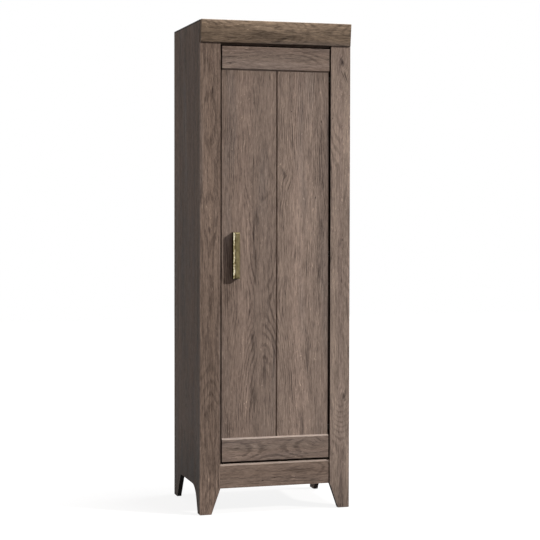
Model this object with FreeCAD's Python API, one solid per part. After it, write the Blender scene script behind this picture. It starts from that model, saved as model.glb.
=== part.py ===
import FreeCAD, Part
import math
import os

from FreeCAD import Vector

# Tall storage cabinet with one inset door, in millimetres, +Z up, door facing -Y.
# The origin is on the floor, at the middle of the cabinet's full width and depth.

# Overall sizes
cabinet_height = 1809.0
cabinet_width = 575.0
cabinet_depth = 432.5
board = 16.0
back_board = 3.0
overrun = 5.0

# Face frame: two stiles with tapered feet, the kick rail and the header rail
stile_width = 76.0
stile_thickness = 19.0
foot_width = 42.0
foot_taper_height = 96.0
kick_rail_height = 89.0
kick_rail_recess = 3.0
rail_bevel = 6.0
header_drop = 5.5

# Crown fascia: a board that leans forward over the stiles
fascia_height = 82.0
fascia_proud_bottom = 6.0
fascia_proud_top = 16.0
fascia_thickness = 19.0
fascia_end_inset = 1.3
fascia_edge_round = 1.5

# Arched cut-out between the front and back feet of each end panel
arch_height = 99.0
arch_front_floor = 39.5
arch_front_top = 79.1
arch_radius = 70.0
arch_back_floor = 53.0
arch_back_top = 116.0

# Door
door_gap = 6.0
door_bottom_gap = 9.0
door_rail_proud = 6.0
door_rail_height = 87.0
groove_width = 7.0
groove_depth = 3.5
groove_under_rail = 4.0
groove_offset = 3.6

# Brass pull
pull_length = 170.0
pull_width = 25.0
pull_projection = 25.0
pull_bevel = 5.0
pull_wall = 2.5
pull_front_wall = 6.0
pull_post_radius = 5.0
pull_edge_offset = 51.5
pull_bottom = 867.0
pull_screw_pitch = 128.0
pull_screw_radius = 2.0
pull_screw_bite = 12.0
pull_screw_head_radius = 4.5
pull_screw_head_height = 2.4

# Shelves
shelf_front_setback = 50.0
fixed_shelf_height = 821.0
shelf_end_clearance = 1.5
shelf_back_clearance = 2.0
lower_shelf_heights = (395.0, 619.0)
upper_shelf_heights = (1099.0, 1355.0)
pin_hole_radius = 2.5
pin_hole_depth = 10.0
pin_hole_pitch = 32.0
pin_holes_per_group = 3
pin_row_inset = 37.0
pin_plate_width = 12.0
pin_plate_thickness = 1.6
pin_ledge_length = 11.0
pin_plate_drop = 13.0
pin_bore_clearance = 0.05

# Back panel nails
nail_pitch = 150.0
nail_rows_across = 4
least_nails_per_panel = 3
nail_radius = 0.9
nail_length = 20.0
nail_head_radius = 2.6
nail_head_height = 0.8
back_side_inset = 2.0
back_seam_gap = 0.6

# Concealed hinges: places from the door's hinge edge and its back face
hinge_end_distance = 110.0
cup_radius = 17.5
cup_edge_offset = 22.5
cup_depth = 11.5
cup_wall = 1.4
cup_fit = 0.1
flange_radius = 19.5
flange_thickness = 1.2
flange_wing_width = 15.0
flange_wing_shift = 4.5
flange_length = 60.0
flange_screw_pitch = 48.0
cup_pin_edge_offset = 12.0
cup_pin_rise = 4.0
ear_width = 7.0
ear_thickness = 1.5
nose_pin_edge_offset = 38.0
nose_pin_rise = 5.0
link_pin_radius = 1.5
link_pin_clearance = 0.05
link_eye_radius = 3.0
link_bar_thickness = 2.6
link_height = 9.0
ear_side_gap = 0.4
nose_side_gap = 0.3
door_swing_deg = 105.0
link_end_deg = 10.0
arm_inner_height = 16.0
arm_cheek = 1.5
arm_top_rise = 18.0
arm_nose_overhang = 4.0
arm_nose_drop = 3.0
arm_swing_rise = 5.5
arm_swing_reach = 14.0
arm_nose_reach = 20.0
arm_web_setback = 6.0
arm_foot_start = 8.0
arm_foot_length = 40.0
hinge_plate_length = 46.0
hinge_plate_height = 54.0
hinge_plate_thickness = 1.5
hinge_boss_gap = 0.1
hinge_boss_margin = 5.0
rivet_radius = 2.4
rivet_height = 0.8

# Wood screws, dowels, cams
screw_radius = 1.8
screw_length = 14.0
screw_head_radius = 3.4
screw_head_height = 1.6
dowel_radius = 4.0
dowel_length = 30.0
stile_dowel_count = 5
cam_radius = 7.5
cam_depth = 12.0
cam_edge_offset = 34.0
cam_slot_width = 2.0
cam_slot_depth = 2.0
cam_bolt_radius = 3.0
cam_bolt_bite = 10.0
cam_row_inset = 60.0
cam_fit = 0.1

# Wood blocks that carry the fascia and the kick rail
block_length = 60.0
block_height = 40.0
block_depth = 19.0
block_count = 3
wedge_margin = 6.0

# Door stops on the left stile
stop_width = 40.0
stop_height = 22.0
stop_depth = 9.0
stop_reach = 10.0
stop_rest_gap = 0.3
stop_end_distance = 60.0

# Wall-fixing bracket inside the top of the back
wall_bracket_leg = 32.0
wall_bracket_width = 28.0
wall_bracket_thickness = 2.0
wall_hole_radius = 2.75
wall_screw_access_radius = 4.0

# Glides under the four feet
glide_height = 2.0
glide_radius = 7.0
glide_nail_radius = 1.2
glide_nail_length = 12.0
glide_edge_round = 0.8

# Places worked out from the sizes above, +Y towards the back
pull_proud = pull_projection - door_rail_proud
face_y = (pull_proud - cabinet_depth) / 2
half_width = cabinet_width / 2
inner_x = half_width - board
stile_inner_x = half_width - stile_width
stile_back_y = face_y + stile_thickness
carcass_back_y = face_y + cabinet_depth - back_board
fascia_bottom_z = cabinet_height - fascia_height
fascia_run = fascia_proud_top - fascia_proud_bottom
fascia_level_thickness = fascia_thickness * math.hypot(fascia_run, fascia_height) / fascia_height
header_bottom_z = fascia_bottom_z - header_drop
top_panel_z = cabinet_height - board
kick_rail_bottom_z = foot_taper_height
kick_rail_top_z = kick_rail_bottom_z + kick_rail_height
bottom_panel_z = kick_rail_top_z - board
door_bottom_z = kick_rail_top_z + door_bottom_gap
door_top_z = header_bottom_z - door_gap
door_edge_x = stile_inner_x - door_gap
door_face_y = face_y
slab_front_y = door_face_y + door_rail_proud
slab_back_y = slab_front_y + board
shelf_front_y = face_y + shelf_front_setback
shelf_back_y = carcass_back_y - shelf_back_clearance
pull_x = -door_edge_x + pull_edge_offset
pull_front_y = slab_front_y - pull_projection
pull_middle_z = pull_bottom + pull_length / 2
hinge_zs = (
    door_bottom_z + hinge_end_distance,
    (door_bottom_z + door_top_z) / 2,
    door_top_z - hinge_end_distance,
)
hinge_names = ("lower", "middle", "upper")
cup_x = door_edge_x - cup_edge_offset
cup_pin_x = door_edge_x - cup_pin_edge_offset
cup_pin_y = slab_back_y + cup_pin_rise
nose_pin_x = door_edge_x - nose_pin_edge_offset
nose_pin_y = slab_back_y + nose_pin_rise
arm_inner = arm_inner_height / 2
arm_outer = arm_inner + arm_cheek
arm_top_y = slab_back_y + arm_top_rise
plate_x0 = stile_inner_x + (arm_foot_start - door_gap)
pin_rows_y = (shelf_front_y + pin_row_inset, shelf_back_y - pin_row_inset)
shelf_heights = lower_shelf_heights + upper_shelf_heights
cam_rows_y = (stile_back_y + cam_row_inset, carcass_back_y - cam_row_inset)
shelf_cam_rows_y = (shelf_front_y + cam_row_inset, carcass_back_y - cam_row_inset)


def box(x0, x1, y0, y1, z0, z1):
    return Part.makeBox(x1 - x0, y1 - y0, z1 - z0, Vector(x0, y0, z0))


def rod(start, direction, radius, length):
    return Part.makeCylinder(radius, length, Vector(*start), Vector(*direction))


def extrude(points, travel):
    wire = Part.makePolygon([*points, points[0]])
    return Part.Face(wire).extrude(travel)


def prism_along_x(outline, x0, x1):
    return extrude([Vector(x0, y, z) for y, z in outline], Vector(x1 - x0, 0, 0))


def prism_along_y(outline, y0, y1):
    return extrude([Vector(x, y0, z) for x, z in outline], Vector(0, y1 - y0, 0))


def prism_along_z(outline, z0, z1):
    return extrude([Vector(x, y, z0) for x, y in outline], Vector(0, 0, z1 - z0))


def mirrored(shape):
    return shape.mirror(Vector(0, 0, 0), Vector(1, 0, 0))


def spread(first, last, count):
    step = (last - first) / (count - 1)
    return [first + step * index for index in range(count)]


def save(name, *solids):
    shape = solids[0] if len(solids) == 1 else Part.makeCompound(list(solids))
    shape.exportStep(os.path.join("parts", name + ".step"))


def fascia_back(z):
    """Y of the leaning fascia's back face at a height."""
    share = (z - fascia_bottom_z) / fascia_height
    return face_y - fascia_proud_bottom - fascia_run * share + fascia_level_thickness


def wood_screw(tip_direction, head_seat):
    """Pan-headed wood screw whose head rests on head_seat."""
    away = tuple(-part for part in tip_direction)
    shank = rod(head_seat, tip_direction, screw_radius, screw_length)
    head = rod(head_seat, away, screw_head_radius, screw_head_height)
    return shank.fuse(head)


def screw_hole(tip_direction, head_seat):
    away = tuple(-part for part in tip_direction)
    start = tuple(seat + part * overrun for seat, part in zip(head_seat, away))
    return rod(start, tip_direction, screw_radius, screw_length + overrun)


def arch_outline():
    """Wire of the arched cut-out seen from the side: sloped front foot, round corner, sharp back corner."""
    front_floor = Vector(0, face_y + arch_front_floor, 0)
    corner = Vector(0, face_y + arch_front_top, arch_height)
    back_top = Vector(0, face_y + cabinet_depth - arch_back_top, arch_height)
    back_floor = Vector(0, face_y + cabinet_depth - arch_back_floor, 0)
    down_slope = (front_floor - corner).normalize()
    along_top = (back_top - corner).normalize()
    half_turn = down_slope.getAngle(along_top) / 2
    tangent = arch_radius / math.tan(half_turn)
    slope_point = corner + down_slope * tangent
    top_point = corner + along_top * tangent
    centre = top_point - Vector(0, 0, arch_radius)
    towards_corner = (corner - centre).normalize()
    arc_middle = centre + towards_corner * arch_radius
    front_below = front_floor + down_slope * overrun
    back_slope = (back_floor - back_top).normalize()
    back_below = back_floor + back_slope * overrun
    edges = [
        Part.LineSegment(front_below, slope_point).toShape(),
        Part.Arc(slope_point, arc_middle, top_point).toShape(),
        Part.LineSegment(top_point, back_top).toShape(),
        Part.LineSegment(back_top, back_below).toShape(),
        Part.LineSegment(back_below, front_below).toShape(),
    ]
    return Part.Wire(edges)


def cam_bolt_places():
    """(row y, bolt z) of every joint between an end panel and a level panel."""
    middle = board / 2
    places = [(y, bottom_panel_z + middle) for y in cam_rows_y]
    places += [(y, top_panel_z + middle) for y in cam_rows_y]
    places += [(y, fixed_shelf_height + middle) for y in shelf_cam_rows_y]
    return places


def shelf_pin_places(shelf_z):
    """(row y, hole z) of the holes that a shelf at this height uses."""
    return [(y, shelf_z - pin_plate_thickness - pin_hole_radius) for y in pin_rows_y]


def stile_dowel_zs():
    return spread(foot_taper_height, fascia_bottom_z - dowel_length, stile_dowel_count)


def end_panel():
    """Right end panel: arch, slanted top front edge, shelf-pin holes, bolt and dowel bores."""
    panel = prism_along_x(
        [
            (stile_back_y, 0),
            (carcass_back_y, 0),
            (carcass_back_y, cabinet_height),
            (fascia_back(cabinet_height), cabinet_height),
            (fascia_back(fascia_bottom_z), fascia_bottom_z),
            (stile_back_y, fascia_bottom_z),
        ],
        inner_x,
        half_width,
    )
    arch = Part.Face(arch_outline()).extrude(Vector(board + 2 * overrun, 0, 0))
    arch.translate(Vector(inner_x - overrun, 0, 0))
    cuts = [arch]
    for shelf_z in shelf_heights:
        for y, z in shelf_pin_places(shelf_z):
            for step in spread(-pin_hole_pitch, pin_hole_pitch, pin_holes_per_group):
                start = (inner_x - overrun, y, z + step)
                cuts.append(rod(start, (1, 0, 0), pin_hole_radius, pin_hole_depth + overrun))
    for y, z in cam_bolt_places():
        start = (inner_x - overrun, y, z)
        cuts.append(rod(start, (1, 0, 0), cam_bolt_radius, cam_bolt_bite + overrun))
    for z in stile_dowel_zs():
        start = (half_width - board / 2, stile_back_y - overrun, z)
        cuts.append(rod(start, (0, 1, 0), dowel_radius, dowel_length / 2 + overrun))
    return panel.cut(cuts)


def stile():
    """Right face-frame stile with its foot tapered on the inner side."""
    body = prism_along_y(
        [
            (half_width, 0),
            (half_width, fascia_bottom_z),
            (stile_inner_x, fascia_bottom_z),
            (stile_inner_x, foot_taper_height),
            (half_width - foot_width, 0),
        ],
        face_y,
        stile_back_y,
    )
    bores = []
    for z in stile_dowel_zs():
        start = (half_width - board / 2, stile_back_y - dowel_length / 2, z)
        bores.append(rod(start, (0, 1, 0), dowel_radius, dowel_length))
    return body.cut(bores)


def kick_rail():
    """Rail between the feet, bevelled along its top front edge."""
    front = face_y + kick_rail_recess
    return prism_along_x(
        [
            (front, kick_rail_bottom_z),
            (front + board, kick_rail_bottom_z),
            (front + board, kick_rail_top_z),
            (front + rail_bevel, kick_rail_top_z),
            (front, kick_rail_top_z - rail_bevel),
        ],
        -stile_inner_x,
        stile_inner_x,
    )


def header_rail():
    """Rail behind the stiles that closes the front above the door."""
    return box(-inner_x, inner_x, stile_back_y, stile_back_y + board, header_bottom_z, top_panel_z)


def fascia():
    """Leaning crown board with eased front edges."""
    half_length = half_width - fascia_end_inset
    bottom_front = face_y - fascia_proud_bottom
    top_front = face_y - fascia_proud_top
    ease = fascia_edge_round
    lean = fascia_run / fascia_height * ease
    return prism_along_x(
        [
            (bottom_front + ease, fascia_bottom_z),
            (fascia_back(fascia_bottom_z), fascia_bottom_z),
            (fascia_back(cabinet_height), cabinet_height),
            (top_front + ease, cabinet_height),
            (top_front + lean, cabinet_height - ease),
            (bottom_front - lean, fascia_bottom_z + ease),
        ],
        -half_length,
        half_length,
    )


def cam_pockets(rows_y, underside_z):
    """Pockets and bolt bores at both ends of a level panel."""
    cuts = []
    for y in rows_y:
        for side in (-1, 1):
            cam_x = side * (inner_x - cam_edge_offset)
            pocket = rod((cam_x, y, underside_z - overrun), (0, 0, 1), cam_radius, cam_depth + overrun)
            bore_start = (side * (inner_x + overrun), y, underside_z + board / 2)
            bore = rod(bore_start, (-side, 0, 0), cam_bolt_radius, cam_edge_offset + overrun)
            cuts += [pocket, bore]
    return cuts


def top_panel():
    """Top board between the end panels, its front edge cut to the fascia's lean."""
    body = prism_along_x(
        [
            (fascia_back(top_panel_z), top_panel_z),
            (carcass_back_y, top_panel_z),
            (carcass_back_y, cabinet_height),
            (fascia_back(cabinet_height), cabinet_height),
        ],
        -inner_x,
        inner_x,
    )
    return body.cut(cam_pockets(cam_rows_y, top_panel_z))


def bottom_panel():
    front = face_y + kick_rail_recess + board
    body = box(-inner_x, inner_x, front, carcass_back_y, bottom_panel_z, kick_rail_top_z)
    return body.cut(cam_pockets(cam_rows_y, bottom_panel_z))


def fixed_shelf():
    top = fixed_shelf_height + board
    body = box(-inner_x, inner_x, shelf_front_y, carcass_back_y, fixed_shelf_height, top)
    return body.cut(cam_pockets(shelf_cam_rows_y, fixed_shelf_height))


def adjustable_shelf(shelf_z):
    reach = inner_x - shelf_end_clearance
    return box(-reach, reach, shelf_front_y, shelf_back_y, shelf_z, shelf_z + board)


def back_panel(z0, z1):
    reach = half_width - back_side_inset
    return box(-reach, reach, carcass_back_y, carcass_back_y + back_board, z0, z1)


def nail_places():
    """(x, z) of the nails: up each end panel and along the level panels."""
    seam = fixed_shelf_height + board / 2
    edge_x = half_width - board / 2
    low = kick_rail_top_z
    high = top_panel_z
    column = []
    for first, last in ((low, seam), (seam, high)):
        count = max(least_nails_per_panel, round((last - first) / nail_pitch))
        step = (last - first) / count
        column += [first + step / 2 + step * index for index in range(count)]
    places = [(side * edge_x, z) for side in (-1, 1) for z in column]
    row_reach = inner_x - nail_pitch / 2
    quarter = board / 4
    rows = (bottom_panel_z + board / 2, seam - quarter, seam + quarter, top_panel_z + board / 2)
    places += [(x, z) for z in rows for x in spread(-row_reach, row_reach, nail_rows_across)]
    return places


def nail(x, z):
    """Flat-headed nail driven flush with the back panel's outer face."""
    start = (x, carcass_back_y + back_board, z)
    head = rod(start, (0, -1, 0), nail_head_radius, nail_head_height)
    shank = rod(start, (0, -1, 0), nail_radius, nail_length)
    return head.fuse(shank)


def nail_bores():
    """Shank bores and head recesses of all the nails."""
    start_y = carcass_back_y + back_board + overrun
    bores = []
    for x, z in nail_places():
        bores.append(rod((x, start_y, z), (0, -1, 0), nail_radius, nail_length + overrun))
        bores.append(rod((x, start_y, z), (0, -1, 0), nail_head_radius, nail_head_height + overrun))
    return bores


def shelf_pin(side, y, shelf_z):
    """Bent metal shelf support: shank in the hole, plate on the panel, flat ledge under the shelf."""
    half = pin_plate_width / 2
    ledge = box(0, pin_ledge_length, y - half, y + half, -pin_plate_thickness, 0)
    plate = box(0, pin_plate_thickness, y - half, y + half, -pin_plate_drop, 0)
    rib_outline = [
        (pin_plate_thickness, -pin_plate_thickness),
        (pin_ledge_length - pin_plate_thickness, -pin_plate_thickness),
        (pin_plate_thickness, -pin_plate_drop),
    ]
    rib_points = [Vector(x, y - pin_plate_thickness / 2, z) for x, z in rib_outline]
    rib = extrude(rib_points, Vector(0, pin_plate_thickness, 0))
    shank_z = -pin_plate_thickness - pin_hole_radius
    shank_radius = pin_hole_radius - pin_bore_clearance
    shank = rod((0, y, shank_z), (-1, 0, 0), shank_radius, pin_hole_depth - pin_plate_thickness)
    pin = ledge.fuse([plate, rib, shank])
    pin.translate(Vector(-inner_x, 0, shelf_z))
    return pin if side < 0 else mirrored(pin)


def cam_lock(x, y, underside_z):
    """Eccentric cam disc with its bolt opening and a screwdriver slot in its face."""
    disc = rod((x, y, underside_z), (0, 0, 1), cam_radius - cam_fit, cam_depth)
    bolt_z = underside_z + board / 2
    side = 1 if x > 0 else -1
    opening = rod((x, y, bolt_z), (side, 0, 0), cam_bolt_radius, cam_radius + overrun)
    reach = cam_radius - cam_slot_width
    half = cam_slot_width / 2
    slots = [
        box(x - reach, x + reach, y - half, y + half, underside_z - overrun, underside_z + cam_slot_depth),
        box(x - half, x + half, y - reach, y + reach, underside_z - overrun, underside_z + cam_slot_depth),
    ]
    return disc.cut([opening, *slots])


def cam_bolt(side, y, z):
    """Bolt screwed into the end panel, its thinner shank reaching into the cam."""
    thread_start = (side * (inner_x + cam_bolt_bite), y, z)
    thread = rod(thread_start, (-side, 0, 0), cam_bolt_radius, cam_bolt_bite)
    shank_radius = cam_bolt_radius * 2 / 3
    shank_length = cam_bolt_bite + cam_edge_offset
    shank = rod(thread_start, (-side, 0, 0), shank_radius, shank_length)
    head_start = (side * (inner_x - cam_edge_offset + cam_bolt_radius), y, z)
    head = rod(head_start, (-side, 0, 0), cam_bolt_radius - cam_fit, cam_bolt_radius)
    return thread.fuse([shank, head])


def fascia_blocks():
    """Wedge blocks that carry the fascia in front of the header rail."""
    low = fascia_bottom_z + wedge_margin
    high = top_panel_z - wedge_margin
    outline = [
        (fascia_back(low), low),
        (stile_back_y, low),
        (stile_back_y, high),
        (fascia_back(high), high),
    ]
    reach = stile_inner_x - block_length / 2
    centres = spread(-reach, reach, block_count)
    return [prism_along_x(outline, x - block_length / 2, x + block_length / 2) for x in centres]


def kick_blocks():
    """Square blocks in the corner below the bottom panel and behind the kick rail."""
    front = face_y + kick_rail_recess + board
    reach = stile_inner_x - block_length / 2
    low = bottom_panel_z - block_height
    blocks = []
    for x in spread(-reach, reach, block_count):
        half = block_length / 2
        blocks.append(box(x - half, x + half, front, front + block_depth, low, bottom_panel_z))
    return blocks


def kick_block_screws():
    """One screw forward into the kick rail and one up into the bottom panel for each block."""
    front = face_y + kick_rail_recess + board
    reach = stile_inner_x - block_length / 2
    seats = []
    for x in spread(-reach, reach, block_count):
        quarter = block_length / 4
        rail_seat = (x - quarter, front + block_depth, bottom_panel_z - block_height * 2 / 3)
        panel_seat = (x + quarter, front + block_depth / 2, bottom_panel_z - block_height)
        seats.append(((0, -1, 0), rail_seat, block_depth + board / 2))
        seats.append(((0, 0, 1), panel_seat, block_height + board / 2))
    return seats


def long_screw(direction, seat, length):
    """Pan-headed screw of its own length, its head on the seat."""
    away = tuple(-part for part in direction)
    shank = rod(seat, direction, screw_radius, length)
    return shank.fuse(rod(seat, away, screw_head_radius, screw_head_height))


def long_bore(direction, seat, length):
    return rod(seat, direction, screw_radius, length)


def door_panel():
    """Door slab: vertical centre groove on the front, hinge cup pockets on the back."""
    slab = box(-door_edge_x, door_edge_x, slab_front_y, slab_back_y, door_bottom_z, door_top_z)
    half = groove_width / 2
    low = door_bottom_z + door_rail_height - groove_under_rail
    high = door_top_z - door_rail_height + groove_under_rail
    flat_half = half / 2
    groove = prism_along_z(
        [
            (groove_offset - half, slab_front_y),
            (groove_offset + half, slab_front_y),
            (groove_offset + flat_half, slab_front_y + groove_depth),
            (groove_offset - flat_half, slab_front_y + groove_depth),
        ],
        low,
        high,
    )
    cuts = [groove]
    for z in hinge_zs:
        cuts.append(rod((cup_x, slab_back_y + overrun, z), (0, -1, 0), cup_radius, cup_depth + overrun))
        cuts += [screw_hole((0, -1, 0), seat) for seat in flange_screw_seats(z)]
    for z in pull_screw_zs():
        start = (pull_x, slab_back_y + overrun, z)
        cuts.append(rod(start, (0, -1, 0), pull_screw_radius, board + 2 * overrun))
    return slab.cut(cuts)


def door_rail(z0, z1, bevel_on_top):
    """Applied rail across the door, bevelled along the edge that faces the panel."""
    front = door_face_y
    back = slab_front_y
    if bevel_on_top:
        outline = [(front, z0), (back, z0), (back, z1), (front, z1 - door_rail_proud)]
    else:
        outline = [(front, z0 + door_rail_proud), (back, z0), (back, z1), (front, z1)]
    return prism_along_x(outline, -door_edge_x, door_edge_x)


def pull_screw_zs():
    return (pull_middle_z - pull_screw_pitch / 2, pull_middle_z + pull_screw_pitch / 2)


def door_pull():
    """Cast pull: a bar bevelled all round its front, with a hollow back and two posts for its screws."""
    half = pull_width / 2
    face_half = half - pull_bevel
    z0 = pull_bottom
    z1 = pull_bottom + pull_length
    bevel_y = pull_front_y + pull_bevel

    def ring(half_x, y, low, high):
        corners = [(-half_x, low), (half_x, low), (half_x, high), (-half_x, high)]
        points = [Vector(pull_x + x, y, z) for x, z in corners]
        return Part.makePolygon([*points, points[0]])

    crown = Part.makeLoft(
        [ring(face_half, pull_front_y, z0 + pull_bevel, z1 - pull_bevel), ring(half, bevel_y, z0, z1)],
        True,
        True,
    )
    bar = box(pull_x - half, pull_x + half, bevel_y, slab_front_y, z0, z1)
    hollow_half = half - pull_wall
    hollow_front_y = pull_front_y + pull_front_wall
    hollow = box(
        pull_x - hollow_half,
        pull_x + hollow_half,
        hollow_front_y,
        slab_front_y + overrun,
        z0 + pull_wall,
        z1 - pull_wall,
    )
    post_length = slab_front_y - hollow_front_y + pull_wall
    posts = [rod((pull_x, slab_front_y, z), (0, -1, 0), pull_post_radius, post_length) for z in pull_screw_zs()]
    body = crown.fuse(bar).removeSplitter().cut(hollow).fuse(posts).removeSplitter()
    bores = []
    for z in pull_screw_zs():
        bore_start = (pull_x, slab_front_y + overrun, z)
        bores.append(rod(bore_start, (0, -1, 0), pull_screw_radius, pull_screw_bite + overrun))
    return body.cut(bores)


def pull_screw(z):
    seat = (pull_x, slab_back_y, z)
    shank = rod(seat, (0, -1, 0), pull_screw_radius, board + pull_screw_bite)
    head = rod(seat, (0, 1, 0), pull_screw_head_radius, pull_screw_head_height)
    return shank.fuse(head)


def flange_screw_seats(z):
    x = cup_x - flange_wing_shift
    y = slab_back_y + flange_thickness
    reach = flange_screw_pitch / 2
    return [(x, y, z - reach), (x, y, z + reach)]


def hinge_cup(z):
    """Pressed steel cup with its screw flange and the two ears that hold the link's pin."""
    floor_y = slab_back_y - cup_depth
    flange_y = slab_back_y + flange_thickness
    cup = rod((cup_x, floor_y, z), (0, 1, 0), cup_radius - cup_fit, cup_depth)
    disc = rod((cup_x, slab_back_y, z), (0, 1, 0), flange_radius, flange_thickness)
    wing_half = flange_wing_width / 2
    wing_x = cup_x - flange_wing_shift
    wing_reach = flange_length / 2
    wing = box(wing_x - wing_half, wing_x + wing_half, slab_back_y, flange_y, z - wing_reach, z + wing_reach)
    hollow_start = (cup_x, floor_y + cup_wall, z)
    hollow = rod(hollow_start, (0, 1, 0), cup_radius - cup_fit - cup_wall, cup_depth + overrun)
    shell = cup.fuse([disc, wing]).cut(hollow)
    holes = [screw_hole((0, -1, 0), seat) for seat in flange_screw_seats(z)]
    shell = shell.cut(holes)
    ear_inner = link_height / 2 + ear_side_gap
    ears = []
    for side in (-1, 1):
        near = z + side * ear_inner
        far = z + side * (ear_inner + ear_thickness)
        low, high = min(near, far), max(near, far)
        half = ear_width / 2
        tab = box(cup_pin_x - half, cup_pin_x + half, floor_y + cup_wall / 2, cup_pin_y, low, high)
        top = rod((cup_pin_x, cup_pin_y, low), (0, 0, 1), half, high - low)
        ears += [tab, top]
    bore_reach = ear_inner + ear_thickness + overrun
    bore_start = (cup_pin_x, cup_pin_y, z - bore_reach)
    bore = rod(bore_start, (0, 0, 1), link_pin_radius + link_pin_clearance, 2 * bore_reach)
    return shell.fuse(ears).cut(bore)


def hinge_link(z):
    """Link between the cup's ears and the arm's nose, an eye and a pin at each end."""
    half = link_height / 2
    cup_pin = Vector(cup_pin_x, cup_pin_y, z)
    nose_pin = Vector(nose_pin_x, nose_pin_y, z)
    along = (nose_pin - cup_pin).normalize()
    across = Vector(-along.y, along.x, 0) * (link_bar_thickness / 2)
    down = Vector(0, 0, -half)
    corners = [
        cup_pin + across + down,
        cup_pin - across + down,
        nose_pin - across + down,
        nose_pin + across + down,
    ]
    bar = extrude(corners, Vector(0, 0, link_height))
    pieces = []
    cup_reach = half + ear_side_gap + ear_thickness
    nose_reach = arm_inner - nose_side_gap
    for pin, reach in ((cup_pin, cup_reach), (nose_pin, nose_reach)):
        eye_start = (pin.x, pin.y, z - half)
        pieces.append(rod(eye_start, (0, 0, 1), link_eye_radius, link_height))
        pin_start = (pin.x, pin.y, z - reach)
        pieces.append(rod(pin_start, (0, 0, 1), link_pin_radius, 2 * reach))
    return bar.fuse(pieces)


def hinge_arm(z):
    """Channel arm from the plate on the stile's back to the nose over the cup."""
    foot_low = stile_back_y + hinge_plate_thickness
    nose_x = nose_pin_x - arm_nose_overhang
    nose_low = nose_pin_y - arm_nose_drop
    swing_low = slab_back_y + arm_swing_rise
    foot_x = plate_x0
    foot_end_x = plate_x0 + arm_foot_length
    nose_flat_x = door_edge_x - arm_nose_reach
    swing_x = door_edge_x - arm_swing_reach
    shoulder = arm_web_setback
    outline = [
        (foot_x, foot_low),
        (foot_end_x, foot_low),
        (foot_end_x, arm_top_y - shoulder),
        (foot_end_x - shoulder, arm_top_y),
        (nose_x + shoulder, arm_top_y),
        (nose_x, arm_top_y - shoulder),
        (nose_x, nose_low),
        (nose_flat_x, nose_low),
        (swing_x, swing_low),
        (foot_x, swing_low),
    ]
    solid = prism_along_z(outline, z - arm_outer, z + arm_outer)
    channel = box(
        nose_x - overrun,
        foot_end_x + overrun,
        foot_low - overrun,
        arm_top_y - arm_cheek,
        z - arm_inner,
        z + arm_inner,
    )
    access_x = (foot_x + foot_end_x) / 2
    access = rod((access_x, arm_top_y + overrun, z), (0, -1, 0), screw_radius, arm_top_rise + overrun)
    rivets = []
    for side in (-1, 1):
        start = (nose_pin_x, nose_pin_y, z + side * arm_outer)
        rivets.append(rod(start, (0, 0, side), rivet_radius, rivet_height))
    return solid.cut([channel, access]).fuse(rivets)


def hinge_plate_screw_seats(z):
    x = plate_x0 + hinge_plate_length / 2
    y = stile_back_y + hinge_plate_thickness
    reach = hinge_plate_height / 2 - screw_head_radius - hinge_plate_thickness
    return [(x, y, z - reach), (x, y, z + reach)]


def hinge_plate(z):
    """Mounting plate on the stile's back, with the boss that the arm straddles."""
    half = hinge_plate_height / 2
    seat_y = stile_back_y + hinge_plate_thickness
    corner = hinge_plate_height / 4
    x1 = plate_x0 + hinge_plate_length
    outline = [
        (plate_x0, z - corner),
        (plate_x0 + corner, z - half),
        (x1 - corner, z - half),
        (x1, z - corner),
        (x1, z + corner),
        (x1 - corner, z + half),
        (plate_x0 + corner, z + half),
        (plate_x0, z + corner),
    ]
    plate = prism_along_y(outline, stile_back_y, seat_y)
    boss_half = arm_inner - hinge_boss_gap
    boss_top = arm_top_y - arm_cheek - hinge_boss_gap
    boss_end = plate_x0 + arm_foot_length - hinge_boss_margin
    boss = box(plate_x0 + hinge_boss_margin, boss_end, seat_y, boss_top, z - boss_half, z + boss_half)
    body = plate.fuse(boss)
    holes = [screw_hole((0, -1, 0), seat) for seat in hinge_plate_screw_seats(z)]
    access_x = plate_x0 + arm_foot_length / 2
    clamp_hole = rod((access_x, boss_top + overrun, z), (0, -1, 0), screw_radius, screw_length + overrun)
    return body.cut([*holes, clamp_hole])


def hinge_clamp_screw(z):
    """Screw that clamps the arm down on its plate."""
    seat = (plate_x0 + arm_foot_length / 2, arm_top_y, z)
    return wood_screw((0, -1, 0), seat)


def door_stop(z):
    """Plastic stop on the left stile's back that reaches behind the door's free edge."""
    x0 = -stile_inner_x - stop_width + door_gap
    x1 = -door_edge_x + stop_reach
    rest_y = slab_back_y + stop_rest_gap
    back_y = stile_back_y + stop_depth
    outline = [
        (x0, stile_back_y),
        (-stile_inner_x, stile_back_y),
        (-stile_inner_x, rest_y),
        (x1, rest_y),
        (x1, back_y - stop_rest_gap),
        (x1 - stop_rest_gap, back_y),
        (x0, back_y),
    ]
    body = prism_along_z(outline, z - stop_height / 2, z + stop_height / 2)
    return body.cut(screw_hole((0, -1, 0), door_stop_screw_seat(z)))


def door_stop_screw_seat(z):
    return (-stile_inner_x - stop_width / 2 + door_gap, stile_back_y + stop_depth, z)


def door_stop_zs():
    return (door_bottom_z + stop_end_distance, door_top_z - stop_end_distance)


def wall_bracket():
    """Steel angle under the top panel, its upright leg bored for a screw into the wall."""
    half = wall_bracket_width / 2
    leg = wall_bracket_leg
    flat = wall_bracket_thickness
    level = box(-half, half, carcass_back_y - leg, carcass_back_y, top_panel_z - flat, top_panel_z)
    upright = box(-half, half, carcass_back_y - flat, carcass_back_y, top_panel_z - leg, top_panel_z)
    hole_start = (0, carcass_back_y + overrun, wall_hole_z())
    hole = rod(hole_start, (0, -1, 0), wall_hole_radius, flat + 2 * overrun)
    return level.fuse(upright).cut([hole, screw_hole((0, 0, 1), wall_bracket_screw_seat())])


def wall_hole_z():
    return top_panel_z - wall_bracket_leg * 2 / 3


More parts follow.
